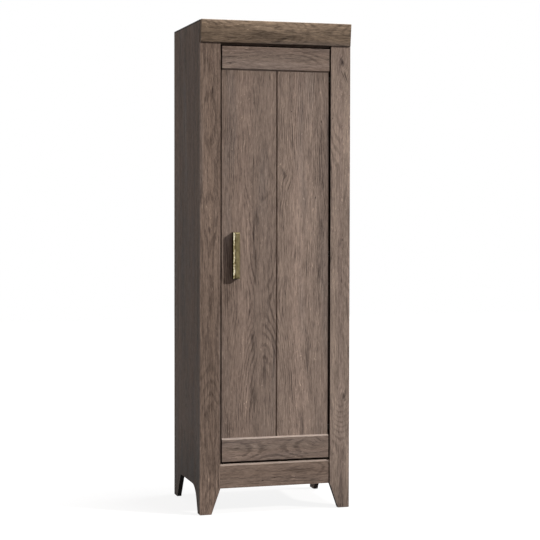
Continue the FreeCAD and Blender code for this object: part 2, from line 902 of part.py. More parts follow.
def wall_bracket_screw_seat():
    return (0, carcass_back_y - wall_bracket_leg * 2 / 3, top_panel_z - wall_bracket_thickness)


def glide(x, y):
    """Plastic glide nailed under a foot."""
    disc = rod((x, y, 0), (0, 0, 1), glide_radius, glide_height)
    rim = [edge for edge in disc.Edges if edge.BoundBox.ZMax < glide_height / 2]
    disc = disc.makeChamfer(glide_edge_round, rim)
    shank = rod((x, y, glide_height), (0, 0, 1), glide_nail_radius, glide_nail_length)
    return disc.fuse(shank)


def foot_glide_places():
    """(name, x, y) of the four glides, each under the middle of its end panel's foot."""
    x = half_width - board / 2
    front_y = (stile_back_y + face_y + arch_front_floor) / 2 - glide_height
    back_y = carcass_back_y - arch_back_floor / 2
    return [
        ("front_left_glide", -x, front_y),
        ("front_right_glide", x, front_y),
        ("back_left_glide", -x, back_y),
        ("back_right_glide", x, back_y),
    ]


def hinge_axis():
    """Plan position of the door's turning axis, from the link's rest and open places."""
    cup_pin = Vector(cup_pin_x, cup_pin_y, 0)
    nose_pin = Vector(nose_pin_x, nose_pin_y, 0)
    length = (nose_pin - cup_pin).Length
    swing = math.radians(door_swing_deg)
    open_turn = math.radians(door_swing_deg + link_end_deg)
    open_pin = nose_pin - Vector(math.cos(open_turn), math.sin(open_turn), 0) * length
    travel = open_pin - cup_pin
    radius = travel.Length / 2 / math.sin(swing / 2)
    sideways = Vector(-travel.y, travel.x, 0).normalize()
    return (cup_pin + open_pin) * (1 / 2) + sideways * (radius * math.cos(swing / 2))


def link_turn_deg():
    """Turn of the link against the door while the door opens fully."""
    rest = math.atan2(nose_pin_y - cup_pin_y, nose_pin_x - cup_pin_x)
    return link_end_deg - math.degrees(rest)


def build():
    os.makedirs("parts", exist_ok=True)
    right_end = end_panel()
    nail_cut = nail_bores()
    glide_bore = glide_nail_length + glide_height
    glide_cuts = []
    for _, x, y in foot_glide_places():
        glide_cuts.append(rod((x, y, 0), (0, 0, 1), glide_nail_radius, glide_bore))
    foot_trim = box(-cabinet_width, cabinet_width, -cabinet_depth, cabinet_depth, -overrun, glide_height)
    right_end = right_end.cut([foot_trim])
    save("right_end_panel", right_end.cut([*nail_cut, *glide_cuts]))
    save("left_end_panel", mirrored(right_end).cut([*nail_cut, *glide_cuts]))

    plate_cuts = [screw_hole((0, -1, 0), seat) for z in hinge_zs for seat in hinge_plate_screw_seats(z)]
    right_stile = stile().cut([foot_trim])
    save("right_stile", right_stile.cut(plate_cuts))
    stop_cuts = [screw_hole((0, -1, 0), door_stop_screw_seat(z)) for z in door_stop_zs()]
    save("left_stile", mirrored(right_stile).cut(stop_cuts))

    save("top_fascia", fascia())
    save("header_rail", header_rail())
    block_bores = [long_bore(*screw) for screw in kick_block_screws()]
    save("kick_rail", kick_rail().cut(block_bores))
    save("top_panel", top_panel().cut([*nail_cut, screw_hole((0, 0, 1), wall_bracket_screw_seat())]))
    save("bottom_panel", bottom_panel().cut([*nail_cut, *block_bores]))
    save("fixed_shelf", fixed_shelf().cut(nail_cut))
    for number, shelf_z in enumerate(shelf_heights, start=1):
        save(f"adjustable_shelf_{number}", adjustable_shelf(shelf_z))
        pins = [shelf_pin(side, y, shelf_z) for side in (-1, 1) for y in pin_rows_y]
        save(f"shelf_{number}_pins", *pins)

    seam = fixed_shelf_height + board / 2
    access_start = (0, carcass_back_y - overrun, wall_hole_z())
    access = rod(access_start, (0, 1, 0), wall_screw_access_radius, back_board + 2 * overrun)
    upper = back_panel(seam + back_seam_gap / 2, cabinet_height - back_side_inset)
    lower = back_panel(bottom_panel_z, seam - back_seam_gap / 2)
    save("upper_back_panel", upper.cut([*nail_cut, access]))
    save("lower_back_panel", lower.cut(nail_cut))
    save("back_nails", *[nail(x, z) for x, z in nail_places()])

    cam_sets = (
        (cam_rows_y, bottom_panel_z),
        (cam_rows_y, top_panel_z),
        (shelf_cam_rows_y, fixed_shelf_height),
    )
    cam_xs = (cam_edge_offset - inner_x, inner_x - cam_edge_offset)
    save("cam_locks", *[cam_lock(x, y, z) for rows, z in cam_sets for y in rows for x in cam_xs])
    save("cam_bolts", *[cam_bolt(side, y, z) for y, z in cam_bolt_places() for side in (-1, 1)])
    dowels = []
    for z in stile_dowel_zs():
        for side in (-1, 1):
            start = (side * (half_width - board / 2), stile_back_y - dowel_length / 2, z)
            dowels.append(rod(start, (0, 1, 0), dowel_radius, dowel_length))
    save("stile_dowels", *dowels)
    save("fascia_blocks", *fascia_blocks())
    save("kick_rail_blocks", *[block.cut(block_bores) for block in kick_blocks()])
    save("block_screws", *[long_screw(*screw) for screw in kick_block_screws()])
    save("wall_bracket", wall_bracket())
    save("wall_bracket_screw", wood_screw((0, 0, 1), wall_bracket_screw_seat()))
    for name, x, y in foot_glide_places():
        save(name, glide(x, y))

    save("door_panel", door_panel())
    rail_top = door_bottom_z + door_rail_height
    save("door_bottom_rail", door_rail(door_bottom_z, rail_top, True))
    save("door_top_rail", door_rail(door_top_z - door_rail_height, door_top_z, False))
    save("door_pull", door_pull())
    save("pull_screws", *[pull_screw(z) for z in pull_screw_zs()])
    for name, z in zip(hinge_names, hinge_zs):
        save(f"{name}_hinge_cup", hinge_cup(z))
        save(f"{name}_hinge_link", hinge_link(z))
        save(f"{name}_hinge_arm", hinge_arm(z))
        save(f"{name}_hinge_plate", hinge_plate(z))
    cup_screws = [wood_screw((0, -1, 0), seat) for z in hinge_zs for seat in flange_screw_seats(z)]
    save("hinge_cup_screws", *cup_screws)
    plate_screws = [wood_screw((0, -1, 0), seat) for z in hinge_zs for seat in hinge_plate_screw_seats(z)]
    save("hinge_plate_screws", *plate_screws, *[hinge_clamp_screw(z) for z in hinge_zs])
    for name, z in zip(("lower", "upper"), door_stop_zs()):
        save(f"{name}_door_stop", door_stop(z))
    save("door_stop_screws", *[wood_screw((0, -1, 0), door_stop_screw_seat(z)) for z in door_stop_zs()])

    axis = hinge_axis()
    print("face y", round(face_y, 3), "carcass back y", round(carcass_back_y, 3))
    print("door axis x, y", round(axis.x, 4), round(axis.y, 4))
    print("link pin x, y", round(cup_pin_x, 3), round(cup_pin_y, 3), "turn", round(link_turn_deg(), 3))


build()
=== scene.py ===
import logging
import math
from dataclasses import dataclass, replace
from enum import Enum
from typing import Callable, Optional, Sequence

import bmesh
import bpy
from mathutils import Matrix, Vector, noise


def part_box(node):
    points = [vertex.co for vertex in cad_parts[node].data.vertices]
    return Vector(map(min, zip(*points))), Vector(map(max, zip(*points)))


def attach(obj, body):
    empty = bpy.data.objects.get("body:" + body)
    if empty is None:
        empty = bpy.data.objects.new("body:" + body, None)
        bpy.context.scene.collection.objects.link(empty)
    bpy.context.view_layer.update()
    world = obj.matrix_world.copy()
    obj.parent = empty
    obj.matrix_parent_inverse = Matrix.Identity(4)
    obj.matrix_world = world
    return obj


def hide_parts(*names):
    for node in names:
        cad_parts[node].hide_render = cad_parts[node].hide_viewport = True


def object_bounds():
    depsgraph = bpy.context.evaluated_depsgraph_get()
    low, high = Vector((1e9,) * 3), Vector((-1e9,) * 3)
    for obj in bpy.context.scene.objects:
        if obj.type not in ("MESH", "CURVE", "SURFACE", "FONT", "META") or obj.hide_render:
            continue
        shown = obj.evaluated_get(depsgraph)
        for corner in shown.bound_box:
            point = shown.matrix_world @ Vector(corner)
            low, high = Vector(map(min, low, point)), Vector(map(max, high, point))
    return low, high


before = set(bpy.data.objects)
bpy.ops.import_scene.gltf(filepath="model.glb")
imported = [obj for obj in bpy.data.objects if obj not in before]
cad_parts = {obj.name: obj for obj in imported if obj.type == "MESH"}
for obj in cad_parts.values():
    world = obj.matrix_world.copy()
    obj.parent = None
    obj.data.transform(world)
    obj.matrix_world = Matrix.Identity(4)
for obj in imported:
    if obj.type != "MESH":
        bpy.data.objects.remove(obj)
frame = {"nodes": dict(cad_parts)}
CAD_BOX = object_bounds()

LOG = logging.getLogger("cabinet")
Tone = tuple[int, int, int]
Socket = bpy.types.NodeSocket
SHELVES = range(1, 5)


def linear(tone: Tone) -> tuple[float, float, float, float]:
    """Turns a screen colour into the linear colour that shaders take.

    Args:
        tone: Red, green and blue from 0 to 255.

    Returns:
        Linear red, green, blue and an alpha of 1.
    """
    parts = [value / 255 for value in tone]
    curved = [part / 12.92 if part <= 0.04045 else ((part + 0.055) / 1.055) ** 2.4 for part in parts]
    return (curved[0], curved[1], curved[2], 1.0)


class Axis(Enum):
    """An axis of the cabinet's own frame."""

    X = 0
    Y = 1
    Z = 2


class Blend(Enum):
    """How one colour goes over another."""

    MIX = "MIX"
    MULTIPLY = "MULTIPLY"
    SCREEN = "SCREEN"


class ShaderSheet:
    """A material's node tree with short ways to add and join its nodes."""

    def __init__(self, name: str) -> None:
        """Starts an empty material.

        Args:
            name: The material's name.
        """
        self.material = bpy.data.materials.new(name)
        self.material.use_nodes = True
        self.tree = self.material.node_tree
        self.tree.nodes.clear()
        self.output = self.tree.nodes.new("ShaderNodeOutputMaterial")

    def node(self, kind: str) -> bpy.types.Node:
        """Adds a node of the given kind."""
        return self.tree.nodes.new(kind)

    def join(self, source: Socket, target: Socket) -> None:
        """Links two sockets."""
        self.tree.links.new(source, target)

    def feed(self, target: Socket, value: object) -> None:
        """Links a socket to the target, or sets the target to a plain value.

        Args:
            target: The input socket.
            value: Another socket, a number, or a colour.
        """
        if isinstance(value, bpy.types.NodeSocket):
            self.join(value, target)
        else:
            target.default_value = value

    def maths(self, operation: str, first: object, second: object = 0.0, third: object = 0.0) -> Socket:
        """Adds one sum.

        Args:
            operation: Blender's name for the operation.
            first: First number or socket.
            second: Second number or socket.
            third: Third number or socket.

        Returns:
            The result's socket.
        """
        node = self.node("ShaderNodeMath")
        node.operation = operation
        for index, value in enumerate((first, second, third)):
            self.feed(node.inputs[index], value)
        return node.outputs[0]

    def times(self, first: object, second: object) -> Socket:
        """Multiplies two values."""
        return self.maths("MULTIPLY", first, second)

    def total(self, start: object, *weighed: tuple[object, float]) -> Socket:
        """Adds values to a start, each by its weight.

        Args:
            start: First number or socket.
            weighed: Values and their weights.

        Returns:
            The total's socket.
        """
        for value, weight in weighed:
            start = self.maths("MULTIPLY_ADD", value, weight, start)
        return start

    def lean(self, value: Socket, weight: float, start: object) -> Socket:
        """Adds a value to a start, by its weight and as far as it departs from one half."""
        return self.total(start, (self.maths("SUBTRACT", value, 0.5), weight))

    def spread(
        self, value: object, low: float, high: float, out_low: float = 0.0, out_high: float = 1.0
    ) -> Socket:
        """Maps a range of values to another range with soft ends.

        Args:
            value: The value.
            low: Value that gives out_low.
            high: Value that gives out_high.
            out_low: Lowest result.
            out_high: Highest result.

        Returns:
            The mapped value's socket.
        """
        node = self.node("ShaderNodeMapRange")
        node.interpolation_type = "SMOOTHSTEP"
        self.feed(node.inputs["Value"], value)
        node.inputs["From Min"].default_value = low
        node.inputs["From Max"].default_value = high
        node.inputs["To Min"].default_value = out_low
        node.inputs["To Max"].default_value = out_high
        return node.outputs[0]

    def colour(self, blend: Blend, share: object, under: object, over: object) -> Socket:
        """Lays one colour over another.

        Args:
            blend: The way they mix.
            share: How much of the upper colour shows, 0 to 1.
            under: Lower colour.
            over: Upper colour.

        Returns:
            The mixed colour's socket.
        """
        node = self.node("ShaderNodeMix")
        node.data_type = "RGBA"
        node.blend_type = blend.value
        self.feed(node.inputs[0], share)
        self.feed(node.inputs[6], under)
        self.feed(node.inputs[7], over)
        return node.outputs[2]

    def vector(self, x: object, y: object, z: object) -> Socket:
        """Joins three values to a vector.

        Args:
            x: First part.
            y: Second part.
            z: Third part.

        Returns:
            The vector's socket.
        """
        node = self.node("ShaderNodeCombineXYZ")
        for index, value in enumerate((x, y, z)):
            self.feed(node.inputs[index], value)
        return node.outputs[0]

    def scaled(self, parts: Sequence[Socket], scales: Sequence[float]) -> Socket:
        """Joins three values to a vector, each times its own scale."""
        return self.vector(*[self.times(part, scale) for part, scale in zip(parts, scales)])

    def place(self) -> tuple[Socket, Socket, Socket]:
        """Gives the point's x, y and z in the cabinet's frame at rest, in metres."""
        return self._split("Object")

    def facing(self) -> tuple[Socket, Socket, Socket]:
        """Gives the surface normal's x, y and z in the object's own frame."""
        return self._split("Normal")

    def _split(self, kind: str) -> tuple[Socket, Socket, Socket]:
        """Parts one of the coordinates into x, y and z.

        Args:
            kind: Blender's name for the coordinate.

        Returns:
            The three parts' sockets.
        """
        coordinates = self.node("ShaderNodeTexCoord")
        split = self.node("ShaderNodeSeparateXYZ")
        self.join(coordinates.outputs[kind], split.inputs[0])
        return (split.outputs[0], split.outputs[1], split.outputs[2])

    def cloud(
        self, at: Socket, scale: float, detail: float = 2.0, rough: float = 0.5, twist: float = 0.0
    ) -> Socket:
        """Adds smooth random variation.

        Args:
            at: The vector that it is read at.
            scale: Size of the variation, higher is finer.
            detail: Number of finer layers.
            rough: Strength of the finer layers.
            twist: Distortion.

        Returns:
            A value round one half.
        """
        node = self.node("ShaderNodeTexNoise")
        self.join(at, node.inputs["Vector"])
        node.inputs["Scale"].default_value = scale
        node.inputs["Detail"].default_value = detail
        node.inputs["Roughness"].default_value = rough
        node.inputs["Distortion"].default_value = twist
        return node.outputs["Fac"]

    def cells(self, at: Socket, scale: float) -> Socket:
        """Adds a cell pattern's distance to its nearest middle.

        Args:
            at: The vector that it is read at.
            scale: Cells in a unit.

        Returns:
            The distance's socket.
        """
        node = self.node("ShaderNodeTexVoronoi")
        self.join(at, node.inputs["Vector"])
        node.inputs["Scale"].default_value = scale
        return node.outputs["Distance"]

    def ramp(
        self,
        value: Socket,
        stops: Sequence[tuple[float, Tone]],
        middle: Sequence[float] = (1.0, 1.0, 1.0, 1.0),
    ) -> Socket:
        """Turns a value from 0 to 1 into colours.

        Args:
            value: The value.
            stops: Places and their colours, in order.
            middle: Linear colour that the colours are divided by, so that they can tint another.

        Returns:
            The colour's socket.
        """
        node = self.node("ShaderNodeValToRGB")
        self.join(value, node.inputs[0])
        elements = node.color_ramp.elements
        while len(elements) < len(stops):
            elements.new(0.5)
        for element, (place, _) in zip(elements, stops):
            element.position = place
        for element, (_, tone) in zip(elements, stops):
            element.color = [part / whole for part, whole in zip(linear(tone), middle)]
        return node.outputs[0]

    def relief(self, height: Socket, depth: float, strength: float = 1.0) -> Socket:
        """Turns a height into a bumped normal.

        Args:
            height: The height, 0 to 1.
            depth: Real depth in metres.
            strength: How much of it shows.

        Returns:
            The normal's socket.
        """
        node = self.node("ShaderNodeBump")
        node.inputs["Strength"].default_value = strength
        node.inputs["Distance"].default_value = depth
        self.join(height, node.inputs["Height"])
        return node.outputs[0]

    def surface(self, colour: object, rough: object, normal: Socket, **plain: float) -> bpy.types.Material:
        """Ends the tree with the surface shader.

        Args:
            colour: Base colour.
            rough: Roughness.
            normal: Bumped normal.
            plain: Values that are the same everywhere, by the shader's socket name.

        Returns:
            The finished material.
        """
        shader = self.node("ShaderNodeBsdfPrincipled")
        self.feed(shader.inputs["Base Color"], colour)
        self.feed(shader.inputs["Roughness"], rough)
        for name, value in plain.items():
            shader.inputs[name.replace("_", " ")].default_value = value
        self.join(normal, shader.inputs["Normal"])
        self.join(shader.outputs[0], self.output.inputs["Surface"])
        return self.material


@dataclass(frozen=True)
class Mark:
    """A knot, smudge or pale fleck in the print.

    Attributes:
        along: Place along the grain, in metres.
        across: Place across the grain, in metres.
        radius: Half of its width, in metres.
        dark: How dark it is, 0 to 1, or how pale where it is negative.
        stretch: Its length against its width.
        flow: How far the grain flows round it, 0 to 1.
        slant: How far it leans across for each unit along.
    """

    along: float
    across: float
    radius: float
    dark: float = 0.8
    stretch: float = 2.4
    flow: float = 0.0
    slant: float = 0.0


class Lie(Enum):
    """How a board lies: its axes along the grain, across it and through its thickness."""

    UPRIGHT = (2, 0, 1)
    LEVEL = (0, 2, 1)
    END = (2, 1, 0)
    FLAT = (0, 1, 2)


@dataclass(frozen=True)
class Layer:
    """One layer of the print's random variation.

    Attributes:
        fine: Its fineness across the grain, for each metre.
        run: Its fineness along the grain, for each metre.
        shift: Moves it away from the other layers.
        detail: Number of finer layers in it.
        rough: Strength of those.
        twist: Its distortion.
        weight: How far it lightens and darkens the print.
        low: Where it starts to show as patches.
        high: Where a patch shows in full.
        most: How far a patch shows at most.
    """

    fine: float
    run: float
    shift: float
    detail: float = 2.0
    rough: float = 0.5
    twist: float = 0.0
    weight: float = 0.0
    low: float = 0.0
    high: float = 1.0
    most: float = 1.0


BROAD = Layer(20.0, 1.2, 0.0, 3.0, 0.55, weight=0.34)
STREAKS = Layer(190.0, 11.0, 2.0, 4.0, 0.72, 0.5, 1.05)
FIBRES = Layer(620.0, 60.0, 7.0, 2.0, 0.6, weight=0.66)
PORES = Layer(760.0, 42.0, 11.0, 1.0, weight=-0.16, low=0.6, high=0.7)
FLECKS = Layer(230.0, 60.0, 15.0, 1.0, twist=0.8, weight=0.3, low=0.66, high=0.74)
FLECK_GROUPS = Layer(14.0, 3.0, 17.0, low=0.46, high=0.6)
SMUDGES = Layer(38.0, 4.6, 5.0, 3.0, 0.6, 0.5, low=0.57, high=0.72, most=0.5)
GREYING = Layer(12.0, 1.3, 3.1, low=0.52, high=0.7, most=0.4)

# Lengths of the print's figure, of the painted shade under the arch and of the darker strips at the top and
# back, and its shift for each step of the seed, in metres
SEED_STEP = 1.37
SWAY_WIDTH = 0.034
RING_SPACING = 0.0064
RING_DIVE = 0.16
PORE_DEPTH = 0.00035
ARCH_SHADE = (0.16, 0.13)
TOP_DARKENING = (0.008, 0.004)
BACK_DARKENING = (0.014, 0.006)

# Strengths of the print, without a unit
RING_WEIGHT = -0.2
RAGGEDNESS = 2.2
GRAIN_LEAD = -0.8
SHEEN = 0.06

WOOD_TONES = (
    (0.08, (60, 51, 46)), (0.3, (91, 79, 70)), (0.46, (113, 99, 88)), (0.56, (124, 109, 97)),
    (0.74, (144, 127, 112)), (0.95, (176, 158, 138)),
)
GREYED_TONES = ((0.1, (60, 56, 56)), (0.5, (106, 98, 94)), (0.9, (148, 140, 134)))
FIBREBOARD_TONES = ((0.3, (134, 104, 76)), (0.55, (152, 121, 90)), (0.8, (168, 138, 106)))
PRINT_MIDDLE: Tone = (121, 106, 94)
SMUDGE_STAIN: Tone = (146, 146, 152)
KNOT_STAIN: Tone = (96, 88, 90)
# Painted highlight on the bevels that face up and forward
BEVEL_HIGHLIGHT: Tone = (150, 140, 132)
# Painted shade on the stiles' edges beside the door's gap
GAP_SHADE: Tone = (52, 46, 43)
# Painted shade under the end panels' arch, also used for their darker strips along the top and back
RIM_DARKENING: Tone = (62, 52, 50)
FRONT_TONE: Tone = (120, 105, 95)
PLAIN_STRIPES = ((0.0, 0.99), (0.3, 1.03), (0.55, 0.97), (0.8, 1.03), (1.0, 0.99))


@dataclass(frozen=True)
class OakPrint:
    """Weathered grey-brown oak, printed on board with the grain along one axis.

    Attributes:
        node: The board's node.
        lie: How the board lies.
        heart: Place across the board where the arched figure is centred, in metres.
        figure: Strength of the arched figure.
        seed: Shifts the pattern, so that no two boards look alike.
        tone: The board's main tone.
        marks: The board's knots, smudges and flecks.
        far: Tone that the board drifts to across its width, or none.
        stripes: Places across the board, from 0 to 1, and how light its print is there.
        tones: Places along the grain, in metres, and how light the board is there.
        contrast: Strength of the whole print against its middle tone.
        run: How short the streaks are along the grain, higher is shorter.
        wear_and_highlight: Strength of the painted highlight on the bevels that face up.
        gap_shade_side: The way that the board's edge beside the door's gap faces along X, and how dark its
            painted shade is, or 0 for none.
        dark_rim: Whether the board's cut edges under the arch get painted shade, and its face a darker strip
            along the top and the back.
        plain_back: Whether the face towards the back is plain fibreboard.
    """

    node: str
    lie: Lie
    heart: float
    figure: float
    seed: float
    tone: Tone = FRONT_TONE
    marks: tuple[Mark, ...] = ()
    far: Optional[Tone] = None
    stripes: tuple[tuple[float, float], ...] = PLAIN_STRIPES
    tones: tuple[tuple[float, float], ...] = ()
    contrast: float = 0.85
    run: float = STREAKS.run
    wear_and_highlight: float = 0.7
    gap_shade_side: float = 0.0
    dark_rim: bool = False
    plain_back: bool = False

    def material(self) -> bpy.types.Material:
        """Builds the print's colour, sheen and pore relief.

        Returns:
            The finished material.
        """
        sheet = ShaderSheet(f"oak {self.node}")
        place = sheet.place()
        grain, across, depth = (place[index] for index in self.lie.value)
        along = sheet.maths("ADD", grain, self.seed * SEED_STEP)
        slow = sheet.vector(sheet.times(across, 7.0), sheet.times(along, 1.7), self.seed)
        bent = sheet.lean(sheet.cloud(slow, 1.0, 3.0), SWAY_WIDTH, across)
        dark, pale, bent = self._marks(sheet, grain, across, bent)

        def layer(kind: Layer) -> Socket:
            """Adds one layer, fine across the grain and long along it.

            Args:
                kind: The layer.

            Returns:
                A value round one half.
            """
            shifted = sheet.maths("ADD", depth, self.seed + kind.shift)
            parts = (bent, shifted, along)
            at = sheet.scaled(parts, (kind.fine, kind.fine, kind.run))
            return sheet.cloud(at, 1.0, kind.detail, kind.rough, kind.twist)

        def patches(kind: Layer) -> Socket:
            """Adds one layer that shows in patches only."""
            return sheet.spread(layer(kind), kind.low, kind.high, 0.0, kind.most)

        streaks = layer(replace(STREAKS, run=self.run))
        fibres = layer(FIBRES)
        rings = self._rings(sheet, along, bent)
        pores = patches(PORES)
        flecks = sheet.times(patches(FLECKS), patches(FLECK_GROUPS))
        tone = sheet.lean(layer(BROAD), BROAD.weight, 0.5)
        tone = sheet.lean(streaks, STREAKS.weight, tone)
        tone = sheet.lean(fibres, FIBRES.weight, tone)
        tone = sheet.total(
            tone, (rings, RING_WEIGHT * self.figure), (pores, PORES.weight),
            (flecks, FLECKS.weight), (pale, FLECKS.weight),
        )
        tone = sheet.lean(tone, self.contrast, 0.5)
        base = self._coloured(sheet, tone, bent, dark, patches)
        base = self._tones_and_painted_light(sheet, grain, base)
        rough = sheet.spread(streaks, 0.3, 0.7, 0.52, 0.7)
        height = sheet.total(fibres, (pores, -1.3), (rings, -0.5), (streaks, 0.9))
        normal = sheet.relief(height, PORE_DEPTH, 0.6)
        return sheet.surface(base, rough, normal, Specular_IOR_Level=SHEEN)

    def _coloured(
        self, sheet: ShaderSheet, tone: Socket, bent: Socket, dark: object, patches: Callable[[Layer], Socket]
    ) -> Socket:
        """Turns the print's lightness into its colours, with its stripes, smudges and greyed patches.

        Args:
            sheet: The material's tree.
            tone: The print's lightness, 0 to 1.
            bent: Place across the grain with its sway.
            dark: The marks' darkness.
            patches: Adds one layer that shows in patches only.

        Returns:
            The print's colour.
        """
        low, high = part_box(self.node)
        side = self.lie.value[1]
        share = sheet.maths("DIVIDE", sheet.maths("SUBTRACT", bent, low[side]), high[side] - low[side])
        tint = sheet.ramp(share, self._stops(), linear(PRINT_MIDDLE))
        base = sheet.colour(Blend.MULTIPLY, 1.0, sheet.ramp(tone, WOOD_TONES), tint)
        smudges = sheet.maths("MAXIMUM", patches(SMUDGES), dark)
        base = sheet.colour(Blend.MULTIPLY, smudges, base, linear(SMUDGE_STAIN))
        base = sheet.colour(Blend.MIX, patches(GREYING), base, sheet.ramp(tone, GREYED_TONES))
        core = sheet.spread(dark, 0.62, 1.0, 0.0, 0.9)
        return sheet.colour(Blend.MULTIPLY, core, base, linear(KNOT_STAIN))

    def _stops(self) -> list[tuple[float, Tone]]:
        """Lightens and darkens the board's tone by its stripes.

        Returns:
            Places across the board and their tones.
        """
        far = self.far or self.tone
        stops = []
        for place, light in self.stripes:
            mixed = [near + (other - near) * place for near, other in zip(self.tone, far)]
            stops.append((place, tuple(round(part * light) for part in mixed)))
        return stops

    def _tones_and_painted_light(self, sheet: ShaderSheet, grain: Socket, base: Socket) -> Socket:
        """Adds the board's steps of lightness, painted bevel highlight, painted shade by the gap and under
        the arch, darker strips at the top and back, and plain back.

        Args:
            sheet: The material's tree.
            grain: Place along the grain.
            base: The print's colour.

        Returns:
            The board's colour.
        """
        if self.tones:
            base = self._toned(sheet, grain, base)
        base = self._painted_bevel_highlight(sheet, base)
        if self.gap_shade_side:
            base = self._painted_gap_shade(sheet, base)
        if self.dark_rim:
            base = self._dark_rim(sheet, base)
        if self.plain_back:
            base = self._plain_back(sheet, base)
        return base

    def _toned(self, sheet: ShaderSheet, grain: Socket, base: Socket) -> Socket:
        """Makes the board lighter or darker in broad steps along the grain.

        Args:
            sheet: The material's tree.
            grain: Place along the grain.
            base: The print's colour.

        Returns:
            The toned colour.
        """
        light: object = self.tones[0][1]
        for (here, before), (after, later) in zip(self.tones, self.tones[1:]):
            light = sheet.maths("ADD", sheet.spread(grain, here, after, 0.0, later - before), light)
        return sheet.colour(Blend.MULTIPLY, 1.0, base, sheet.vector(light, light, light))

    def _painted_bevel_highlight(self, sheet: ShaderSheet, base: Socket) -> Socket:
        """Paints a pale highlight on the print where a bevel faces up and forward.

        Args:
            sheet: The material's tree.
            base: The print's colour.

        Returns:
            The colour with its worn bevels.
        """
        facing = sheet.facing()
        upward = sheet.spread(facing[2], 0.35, 0.6)
        forward = sheet.spread(facing[1], -0.35, -0.6)
        wear_and_highlight = sheet.times(sheet.times(upward, forward), self.wear_and_highlight)
        return sheet.colour(Blend.SCREEN, wear_and_highlight, base, linear(BEVEL_HIGHLIGHT))

    def _painted_gap_shade(self, sheet: ShaderSheet, base: Socket) -> Socket:
        """Paints shade on the narrow edge beside the gap round the door.

        Args:
            sheet: The material's tree.
            base: The print's colour.

        Returns:
            The colour with its dark edge.
        """
        inward = sheet.times(sheet.facing()[0], math.copysign(1.0, self.gap_shade_side))
        gap_shade = sheet.spread(inward, 0.35, 0.65, 0.0, abs(self.gap_shade_side))
        return sheet.colour(Blend.MULTIPLY, gap_shade, base, linear(GAP_SHADE))

    def _dark_rim(self, sheet: ShaderSheet, base: Socket) -> Socket:
        """Paints shade on an upright panel's cut edges under the arch, and darkens its face along the top and
        the back.

        Args:
            sheet: The material's tree.
            base: The print's colour.

        Returns:
            The colour with its dark rim.
        """
        y, z = sheet.place()[1:]
        flat = sheet.maths("ABSOLUTE", sheet.facing()[0])
        under_arch = sheet.spread(z, *ARCH_SHADE, 0.0, 0.98)
        cut = sheet.times(sheet.spread(flat, 0.8, 0.5), under_arch)
        high = CAD_BOX[1]
        top = sheet.spread(z, high.z - TOP_DARKENING[0], high.z - TOP_DARKENING[1], 0.0, 0.9)
        back = sheet.spread(y, high.y - BACK_DARKENING[0], high.y - BACK_DARKENING[1], 0.0, 0.6)
        rim = sheet.times(sheet.maths("MAXIMUM", top, back), sheet.spread(flat, 0.6, 0.9))
        rim = sheet.maths("MAXIMUM", rim, cut)
        return sheet.colour(Blend.MULTIPLY, rim, base, linear(RIM_DARKENING))

    def _plain_back(self, sheet: ShaderSheet, base: Socket) -> Socket:
        """Gives the outer face of a back panel its plain brown fibreboard.

        Args:
            sheet: The material's tree.
            base: The print's colour.

        Returns:
            The colour of both faces.
        """
        at = sheet.vector(*sheet.place())
        fine = sheet.cloud(at, 900.0, 3.0, 0.7)
        broad = sheet.cloud(at, 26.0, 4.0, 0.6)
        board = sheet.ramp(sheet.total(0.0, (fine, 0.65), (broad, 0.4)), FIBREBOARD_TONES)
        outward = sheet.spread(sheet.facing()[1], 0.4, 0.6)
        return sheet.colour(Blend.MIX, outward, base, board)

    def _rings(self, sheet: ShaderSheet, along: Socket, bent: Socket) -> Socket:
        """Draws the arched growth lines of a plain-sawn board.

        Args:
            sheet: The material's tree.
            along: Place along the grain.
            bent: Place across the grain with its sway.

        Returns:
            A value that is 1 on each line.
        """
        long_way = sheet.vector(self.seed, self.seed * 0.7, sheet.times(along, 2.0))
        dive = sheet.times(sheet.cloud(long_way, 1.0, 1.0), RING_DIVE)
        off = sheet.maths("SUBTRACT", bent, self.heart)
        squares = sheet.maths("ADD", sheet.times(off, off), sheet.times(dive, dive))
        count = sheet.times(sheet.maths("SQRT", squares), 2 * math.pi / RING_SPACING)
        jitter_at = sheet.vector(sheet.times(bent, 130.0), self.seed, sheet.times(along, 24.0))
        jitter = sheet.times(sheet.cloud(jitter_at, 1.0, 3.0, 0.6), 5.0)
        wave = sheet.maths("SINE", sheet.maths("ADD", count, jitter))
        fade_at = sheet.vector(sheet.times(bent, 18.0), self.seed + 2, sheet.times(along, 3.0))
        fade = sheet.spread(sheet.cloud(fade_at, 1.0), 0.42, 0.6)
        return sheet.times(sheet.spread(wave, -0.2, 1.0), fade)

